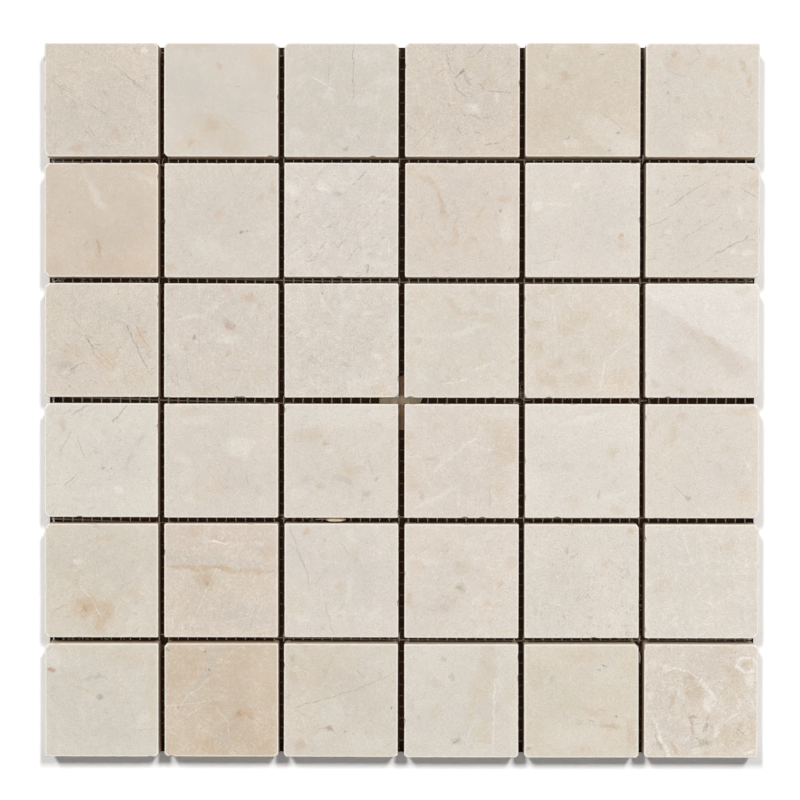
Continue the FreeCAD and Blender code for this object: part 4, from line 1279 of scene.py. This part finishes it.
under_low, under_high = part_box("net_warp_under")
over_low, over_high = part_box("net_warp_over")
weft_low, weft_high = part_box("net_weft")
first_warp = under_low.x + warp_width / 2
warp_count = round((under_high.x - warp_width / 2 - first_warp) / warp_pitch) + 1
first_weft = under_high.y - 3.6 * MM
weft_count = 62


def weft_rise(x):
    """How far a weft at this X stands above its place at the middle of the sheet."""
    return weft_bow * (x / (150 * MM)) ** 2 - x * math.tan(weft_skew)


def straight_yarn(length, width, thickness, runs, sides, along_x=False):
    """A flattened yarn along Y or X through the origin, cut into short runs."""
    shape = bmesh.new()
    bmesh.ops.create_cone(shape, cap_ends=True, segments=sides, radius1=0.5, radius2=0.5, depth=length)
    flanks = [edge for edge in shape.edges if abs(edge.verts[0].co.z - edge.verts[1].co.z) > length / 2]
    bmesh.ops.subdivide_edges(shape, edges=flanks, cuts=runs - 1, use_grid_fill=True)
    bmesh.ops.scale(shape, vec=(width, thickness, 1), verts=shape.verts)
    for axis in ("X", "Z") if along_x else ("X",):
        turned = Matrix.Rotation(math.pi / 2, 3, axis)
        bmesh.ops.rotate(shape, cent=(0, 0, 0), matrix=turned, verts=shape.verts)
    mesh = bpy.data.meshes.new("yarn")
    shape.to_mesh(mesh)
    shape.free()
    return mesh


def yarn_layer(yarn, places):
    """One bmesh with a copy of the yarn at each place."""
    shape = bmesh.new()
    for place in places:
        before = len(shape.verts)
        shape.from_mesh(yarn)
        shape.verts.ensure_lookup_table()
        bmesh.ops.translate(shape, vec=place, verts=shape.verts[before:])
    return shape


print("pairs of warps", warp_count, "wefts", weft_count)

# %% [markdown]
# Glass yarn is a bundle of white filaments in a clear size that yellows and catches dust. The
# wefts are given a greyer and browner colour than the warps. Where a yarn lies in a joint between
# columns of chips, away from the rows, it is darkened by painted shade. The fine streaks run along
# each yarn, so the place is squeezed along the yarn before the noise.

# %% Glass yarn finish
def glass_yarn(name, colour, shade_and_dust, squeeze):
    """Filaments that run along the yarn, with some dust, and painted shade where it lies between columns.
    """
    material, nodes, shader = new_finish(name, 0.45)
    place = nodes.place()
    filaments = nodes.noise(nodes.mapped(place, size=squeeze), 0.09, 3.0, 2.0, 0.6)
    dust = nodes.noise(place, 3.0, 5.0, 3.0)
    beside, along, _ = nodes.parts(place)
    from_column = beside.maths("PINGPONG", beside, 25.4)
    from_row = along.maths("PINGPONG", along, 25.4)
    # Painted shade: darker where the yarn lies in a joint between columns of chips, away from the rows.
    shade_between_columns = nodes.ease(from_column, 2.0, 1.5) * nodes.ease(from_row, 1.5, 2.4)
    shade = nodes.mix(nodes.ease(filaments, 0.35, 0.65) * 0.4, colour, nodes.scaled(colour, 1.1))
    shade = nodes.mix(shade_between_columns * 0.9 + nodes.ease(dust, 0.5, 0.75) * 0.1, shade, shade_and_dust)
    nodes.feed(shader.inputs["Base Color"], shade)
    nodes.feed(shader.inputs["Roughness"], 0.3 + 0.4 * filaments)
    bump = nodes.add("ShaderNodeBump", {}, {"Strength": 0.6, "Distance": 0.02 * MM, "Height": filaments})
    nodes.feed(shader.inputs["Normal"], bump)
    return material


warp_finish = glass_yarn("warp_glass", tone(246, 238, 226), tone(104, 80, 62), (1, 30, 1))
thread_finish = glass_yarn("thread_glass", tone(250, 242, 230), tone(232, 220, 204), (6, 6, 6))
weft_finish = glass_yarn("weft_glass", tone(186, 170, 150), tone(118, 94, 76), (30, 1, 1))
print("finishes", [finish.name for finish in (warp_finish, thread_finish, weft_finish)])

# %% [markdown]
# On the loom the two yarns of a warp pair swap sides after every weft. A cosine that turns half
# round from one weft to the next moves them across, and one that turns twice as fast presses
# them against the wefts. The wefts are only bent to their sag.

# %% Weave the net
twist = 0.12 * MM
sunk = 0.05 * MM
wave = 0.045 * MM
runs_per_weft = 5
warp_length = under_high.y - under_low.y


def turns_passed(x, y):
    """How many wefts lie between the top of the net and a point of a warp yarn."""
    return (first_weft + weft_rise(x) - y) / weft_pitch


def warp_piece(name, node, side, middle, lift):
    """The upper or lower yarn of every pair. side is which way it leans at the first weft."""
    runs = runs_per_weft * weft_count
    yarn = straight_yarn(warp_length, warp_width, yarn_thickness, runs, warp_sides)
    places = [(first_warp + i * warp_pitch, 0, middle) for i in range(warp_count)]
    shape = yarn_layer(yarn, places)
    for vert in shape.verts:
        x = first_warp + round((vert.co.x - first_warp) / warp_pitch) * warp_pitch
        passed = turns_passed(x, vert.co.y)
        vert.co.x += side * twist * math.cos(math.pi * passed)
        vert.co.z += lift * math.cos(2 * math.pi * passed)
    piece = new_piece(shape, name, warp_finish, [node])
    piece.data.shade_smooth()
    return piece


over_middle = (over_low.z + over_high.z) / 2 - sunk
under_middle = (under_low.z + under_high.z) / 2 + sunk
over_yarns = warp_piece("warp_yarns_over", "net_warp_over", 1, over_middle, wave)
under_yarns = warp_piece("warp_yarns_under", "net_warp_under", -1, under_middle, -wave)

weft_length = weft_high.x - weft_low.x
weft_middle = (weft_low.z + weft_high.z) / 2
yarn = straight_yarn(weft_length, weft_width, yarn_thickness, 2 * warp_count, weft_sides, True)
shape = yarn_layer(yarn, [(0, first_weft - i * weft_pitch, weft_middle) for i in range(weft_count)])
for vert in shape.verts:
    vert.co.y += weft_rise(vert.co.x)
weft_yarns = new_piece(shape, "weft_yarns", weft_finish, ["net_weft"])
weft_yarns.data.shade_smooth()
for piece in (over_yarns, under_yarns, weft_yarns):
    print(piece.name, "triangles", sum(len(face.vertices) - 2 for face in piece.data.polygons))

# %% [markdown]
# ## The adhesive
# Under each chip the adhesive is a thin squeezed pad that has taken the print of the yarns. At
# the middle of the sheet a film of it crosses two joints and hides the net, and one set drop
# clings to a chip's side. The film is the packed film's outline cut into small cells, whose
# points rise where a yarn passes under them.

# %% Adhesive finish
def resin(name, colour, deep, roughness, printed_and_shaded=False):
    """Dried adhesive: clouded and a little glossy. A printed one shows the net, and painted shade browns
    its arm up the sheet.
    """
    material, nodes, shader = new_finish(name, roughness)
    place = nodes.place()
    clouded = nodes.noise(place, 2.4, 7.0, 4.0, 0.6)
    fine = nodes.noise(place, 0.5, 8.0, 3.0, 0.6)
    shade = nodes.mix(nodes.ease(clouded, 0.38, 0.62), colour, deep)
    if printed_and_shaded:
        beside, along, _ = nodes.parts(place)
        shifted = beside - first_warp / MM
        from_warp = shifted.maths("PINGPONG", shifted, warp_pitch / MM / 2)
        shade = nodes.mix(nodes.ease(abs(from_warp - 0.4), 0.2, 0.05, 0.45), shade, tone(150, 112, 84))
        # Painted shade: the arm that runs up the sheet, away from the row joint, is darker and browner.
        shade = nodes.mix(nodes.ease(abs(along), 1.3, 2.6, 0.85), shade, tone(174, 128, 90))
    nodes.feed(shader.inputs["Base Color"], nodes.scaled(shade, 0.9 + 0.2 * fine))
    nodes.feed(shader.inputs["Roughness"], roughness + 0.2 * (clouded - 0.5))
    height = clouded * 0.5 + fine * 0.5
    bump = nodes.add("ShaderNodeBump", {}, {"Strength": 0.5, "Distance": 0.05 * MM, "Height": height})
    nodes.feed(shader.inputs["Normal"], bump)
    return material


pad_finish = resin("adhesive_cream", tone(214, 200, 172), tone(196, 178, 144), 0.45)
film_finish = resin("adhesive_film", tone(255, 243, 212), tone(250, 230, 196), 0.4, True)
bead_finish = resin("adhesive_bead", tone(238, 229, 212), tone(226, 211, 184), 0.4)
smear_finish = resin("adhesive_smear", tone(206, 190, 168), tone(160, 136, 112), 0.45)
print("finishes", [finish.name for finish in (pad_finish, film_finish, bead_finish, smear_finish)])

# %% [markdown]
# The film and the pads keep their packed outlines, so each starts as a copy of its packed node.
# The copy's loose triangles are merged and its flat faces made whole. A flat face has no points
# inside it that could be lifted, so the film is also cut across at an even step, both ways.

# %% Copies of packed pieces
def packed_copy(node):
    """A merged copy of a packed node, with its flat faces whole."""
    shape = bmesh.new()
    shape.from_mesh(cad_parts[node].data)
    bmesh.ops.remove_doubles(shape, verts=shape.verts, dist=0.001 * MM)
    bmesh.ops.dissolve_limit(shape, angle_limit=math.radians(2), verts=shape.verts, edges=shape.edges)
    return shape


def cut_into_cells(shape, low, high, step):
    """Cuts a shape along X and Y at an even step."""
    for axis in (0, 1):
        normal = Vector((1, 0, 0)) if axis == 0 else Vector((0, 1, 0))
        for i in range(1, math.ceil((high[axis] - low[axis]) / step)):
            point = low + normal * (i * step)
            parts = shape.verts[:] + shape.edges[:] + shape.faces[:]
            bmesh.ops.bisect_plane(shape, geom=parts, plane_co=point, plane_no=normal)


film_cell = 0.4 * MM
film_low, film_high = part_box("adhesive_film")
shape = packed_copy("adhesive_film")
cut_into_cells(shape, film_low, film_high, film_cell)
print("points of the film", len(shape.verts))

# %% [markdown]
# Thin adhesive sinks between the yarns and stands up over them. How far is worked out from the
# yarns' own pitch and bow, and the film's points are moved by it. Two of its arms also lean a
# little, and its edge is drawn in by noise.

# %% Film
def ridge(value, pitch, width):
    """1 over a yarn and 0 between yarns, where yarns lie at a pitch."""
    away = abs(value / pitch - round(value / pitch)) * pitch
    return max(0.0, 1 - (away / width) ** 2)


def yarn_print(point):
    """How much the net below lifts thin adhesive at a point."""
    warp = ridge(point.x - first_warp, warp_pitch, 0.5 * MM)
    weft = ridge(first_weft + weft_rise(point.x) - point.y, weft_pitch, 0.6 * MM)
    return max(warp, 0.75 * weft)


film_lift = 0.22 * MM
# The two arms that lean: where they start, and what they lean about.
right_arm_start = 8 * MM
upper_arm_start = 9.5 * MM
arm_middle = 1.3 * MM
for vert in shape.verts:
    lift = yarn_print(vert.co) - 1
    ripple = noise.noise(vert.co * 900) * 0.03 * MM
    vert.co.z += film_lift * lift + min(0.0, ripple)
    if vert.co.x > right_arm_start:
        vert.co.x += 0.5 * (vert.co.y - arm_middle)
    if vert.co.y > upper_arm_start:
        vert.co.y += 0.5 * (vert.co.x - arm_middle)
    inner = 1 - 0.035 * (1 + noise.noise(vert.co.xyz * 260))
    vert.co.x *= inner
    vert.co.y *= inner
film = new_piece(shape, "centre_film", film_finish, ["adhesive_film"])
print("film faces", len(film.data.polygons))

# %% [markdown]
# The pads only get a ragged edge, since chips cover them. The drop is a ball pressed to the
# packed drop's size, with a lumpy skin.

# %% Pads and drop
pad_step = 1.5 * MM
pad_ragged = 0.9 * MM
shape = packed_copy("adhesive_pads")
for edge in list(shape.edges):
    if edge.calc_length() > 2 * MM:
        bmesh.ops.subdivide_edges(shape, edges=[edge], cuts=round(edge.calc_length() / pad_step))
for vert in shape.verts:
    ragged = noise.noise_vector(vert.co * 254.558)
    vert.co.x += ragged.x * pad_ragged
    vert.co.y += ragged.y * pad_ragged
pads = new_piece(shape, "chip_pads", pad_finish, ["adhesive_pads"])

bead_low, bead_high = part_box("adhesive_bead")
bead_middle = (bead_low + bead_high) / 2
bead_half = (bead_high - bead_low) / 2
shape = bmesh.new()
bmesh.ops.create_icosphere(shape, subdivisions=4, radius=1.0)
for vert in shape.verts:
    lump = 0.86 + 0.14 * noise.noise(vert.co * 2.3)
    vert.co = Vector((vert.co.x * bead_half.x, vert.co.y * bead_half.y, vert.co.z * bead_half.z)) * lump
    vert.co += bead_middle
bead = new_piece(shape, "adhesive_drop", bead_finish, ["adhesive_bead"])
bead.data.shade_smooth()
print("pad faces", len(pads.data.polygons), "drop faces", len(bead.data.polygons))

# %% [markdown]
# ## Crumbs of adhesive and loose threads
# Where too much adhesive was put on, it has come up through the net. It clots on the yarns in
# some of the joints, so that the openings there are small and round. A few broken filaments of
# the glass stick up between the chips. Each clot is a small flattened ball with a lumpy skin,
# and each thread is a thin tube along a bent line.

# %% Clots
# The stretches of joint with clots in them, in millimetres: from and to along the joint, the
# joint's own place, whether it runs across the sheet, and how many clots lie on a millimetre.
CLOTTED = [
    (-112, -103, 101.6, True, 2.4),
    (-150, -144, 50.8, True, 5.5),
    (-138, -132.5, 50.8, True, 5.0),
    (-117, -106.5, 50.8, True, 4.5),
    (127, 149, 50.8, True, 1.6),
    (-149, -118, -101.6, True, 1.5),
    (85, 101, -101.6, True, 1.8),
    (-47, -37, -50.8, True, 2.4),
    (0, 8, 50.8, False, 3.2),
    (-90, -76, 101.6, False, 2.2),
    (46, 57, 0, True, 3.2),
    (60, 84, 0, True, 1.2),
    (98, 108, 0, True, 2.8),
]


def clot(shape, centre, size, chance_place):
    """Adds a flattened ball with a lumpy skin."""
    ball = bmesh.ops.create_icosphere(shape, subdivisions=2, radius=1.0)["verts"]
    for vert in ball:
        lump = 0.8 + 0.35 * noise.noise(vert.co * 1.8 + chance_place)
        vert.co = Vector([part * side for part, side in zip(vert.co * lump, size)]) + centre


clot_thickness = 0.16 * MM
chance = random.Random(11)
shape = bmesh.new()
for start, end, across, runs_along_x, crowd in CLOTTED:
    for _ in range(round((end - start) * crowd)):
        along = chance.uniform(start, end)
        aside = across + chance.choice((-1.2, -0.9, 0.0, 0.9, 1.2)) + chance.uniform(-0.2, 0.2)
        if chance.random() < 0.6:
            along = round((along * MM - first_warp) / warp_pitch) * warp_pitch / MM + first_warp / MM
        x, y = (along, aside) if runs_along_x else (aside, along)
        size = [chance.uniform(0.35, 0.9) * MM, chance.uniform(0.3, 0.6) * MM, clot_thickness]
        centre = Vector((x * MM, y * MM, chance.uniform(0.5, 0.8) * MM))
        clot(shape, centre, size, Vector((x, y, 0)))
clots = new_piece(shape, "adhesive_clots", smear_finish, [])
clots.data.shade_smooth()
print("clots", len(clots.data.polygons) // 80)

# %% [markdown]
# The threads are written down as three points each: where they start, where they bend to and
# where they end. The rings of the tube are laid along that bend.

# %% Loose threads
THREADS = [
    ((101.0, -106.6, 7.6), (101.6, -108.8, 8.6), (101.1, -111.2, 7.8)),
    ((101.9, -99.8, 5.0), (101.2, -101.0, 7.0), (101.5, -102.3, 6.0)),
    ((102.2, 104.4, 6.0), (102.5, 102.6, 7.4), (102.0, 100.6, 5.0)),
    ((50.9, 6.6, 3.0), (50.2, 4.4, 5.4), (50.8, 2.0, 4.4)),
    ((51.3, 5.4, 2.0), (51.5, 3.2, 4.0), (50.7, 1.2, 3.0)),
    ((-101.3, 103.2, 3.0), (-102.6, 101.8, 4.0), (-101.5, 99.6, 3.0)),
    ((-149.6, 51.9, 1.6), (-147.4, 50.0, 2.4), (-145.8, 51.4, 1.4)),
    ((-148.8, 50.2, 1.2), (-147.0, 52.4, 2.0), (-145.4, 50.6, 1.6)),
    ((-36.4, -50.6, 7.2), (-34.4, -50.1, 8.4), (-32.0, -50.4, 8.2)),
    ((88.0, -101.4, 1.4), (90.4, -100.8, 2.0), (92.6, -101.5, 1.2)),
    ((-0.4, -98.6, 3.0), (-1.0, -100.6, 5.0), (-0.5, -102.6, 3.0)),
    ((-51.6, -50.2, 2.0), (-50.4, -51.2, 3.0), (-48.8, -50.4, 2.0)),
    ((51.2, 0.9, 1.6), (53.6, -0.6, 2.6), (56.0, 0.7, 1.4)),
]


thread_width = 0.22 * MM
filament = straight_yarn(2.0, thread_width, thread_width, 14, 6)
shape = bmesh.new()
for points in THREADS:
    start, middle, end = [Vector(point) * MM for point in points]
    before = len(shape.verts)
    shape.from_mesh(filament)
    shape.verts.ensure_lookup_table()
    for vert in shape.verts[before:]:
        share = (vert.co.y + 1) / 2
        spot = start * (1 - share) ** 2 + middle * (2 * share * (1 - share)) + end * share ** 2
        ahead = ((middle - start) * (1 - share) + (end - middle) * share).normalized()
        vert.co = spot + ahead.to_track_quat("Y", "Z") @ Vector((vert.co.x, 0, vert.co.z))
threads = new_piece(shape, "loose_threads", thread_finish, [])
threads.data.shade_smooth()
print("threads", len(THREADS), "faces", len(threads.data.polygons))

# %% [markdown]
# ## The sizes at the end
# The sizes are taken again and printed after the first ones. The worn model has to lie inside
# the packed one, because the parts are joined to others by the packed sizes.

# %% Sizes and finish
low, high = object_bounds()
print("size now", [round(side / MM, 2) for side in high - low])
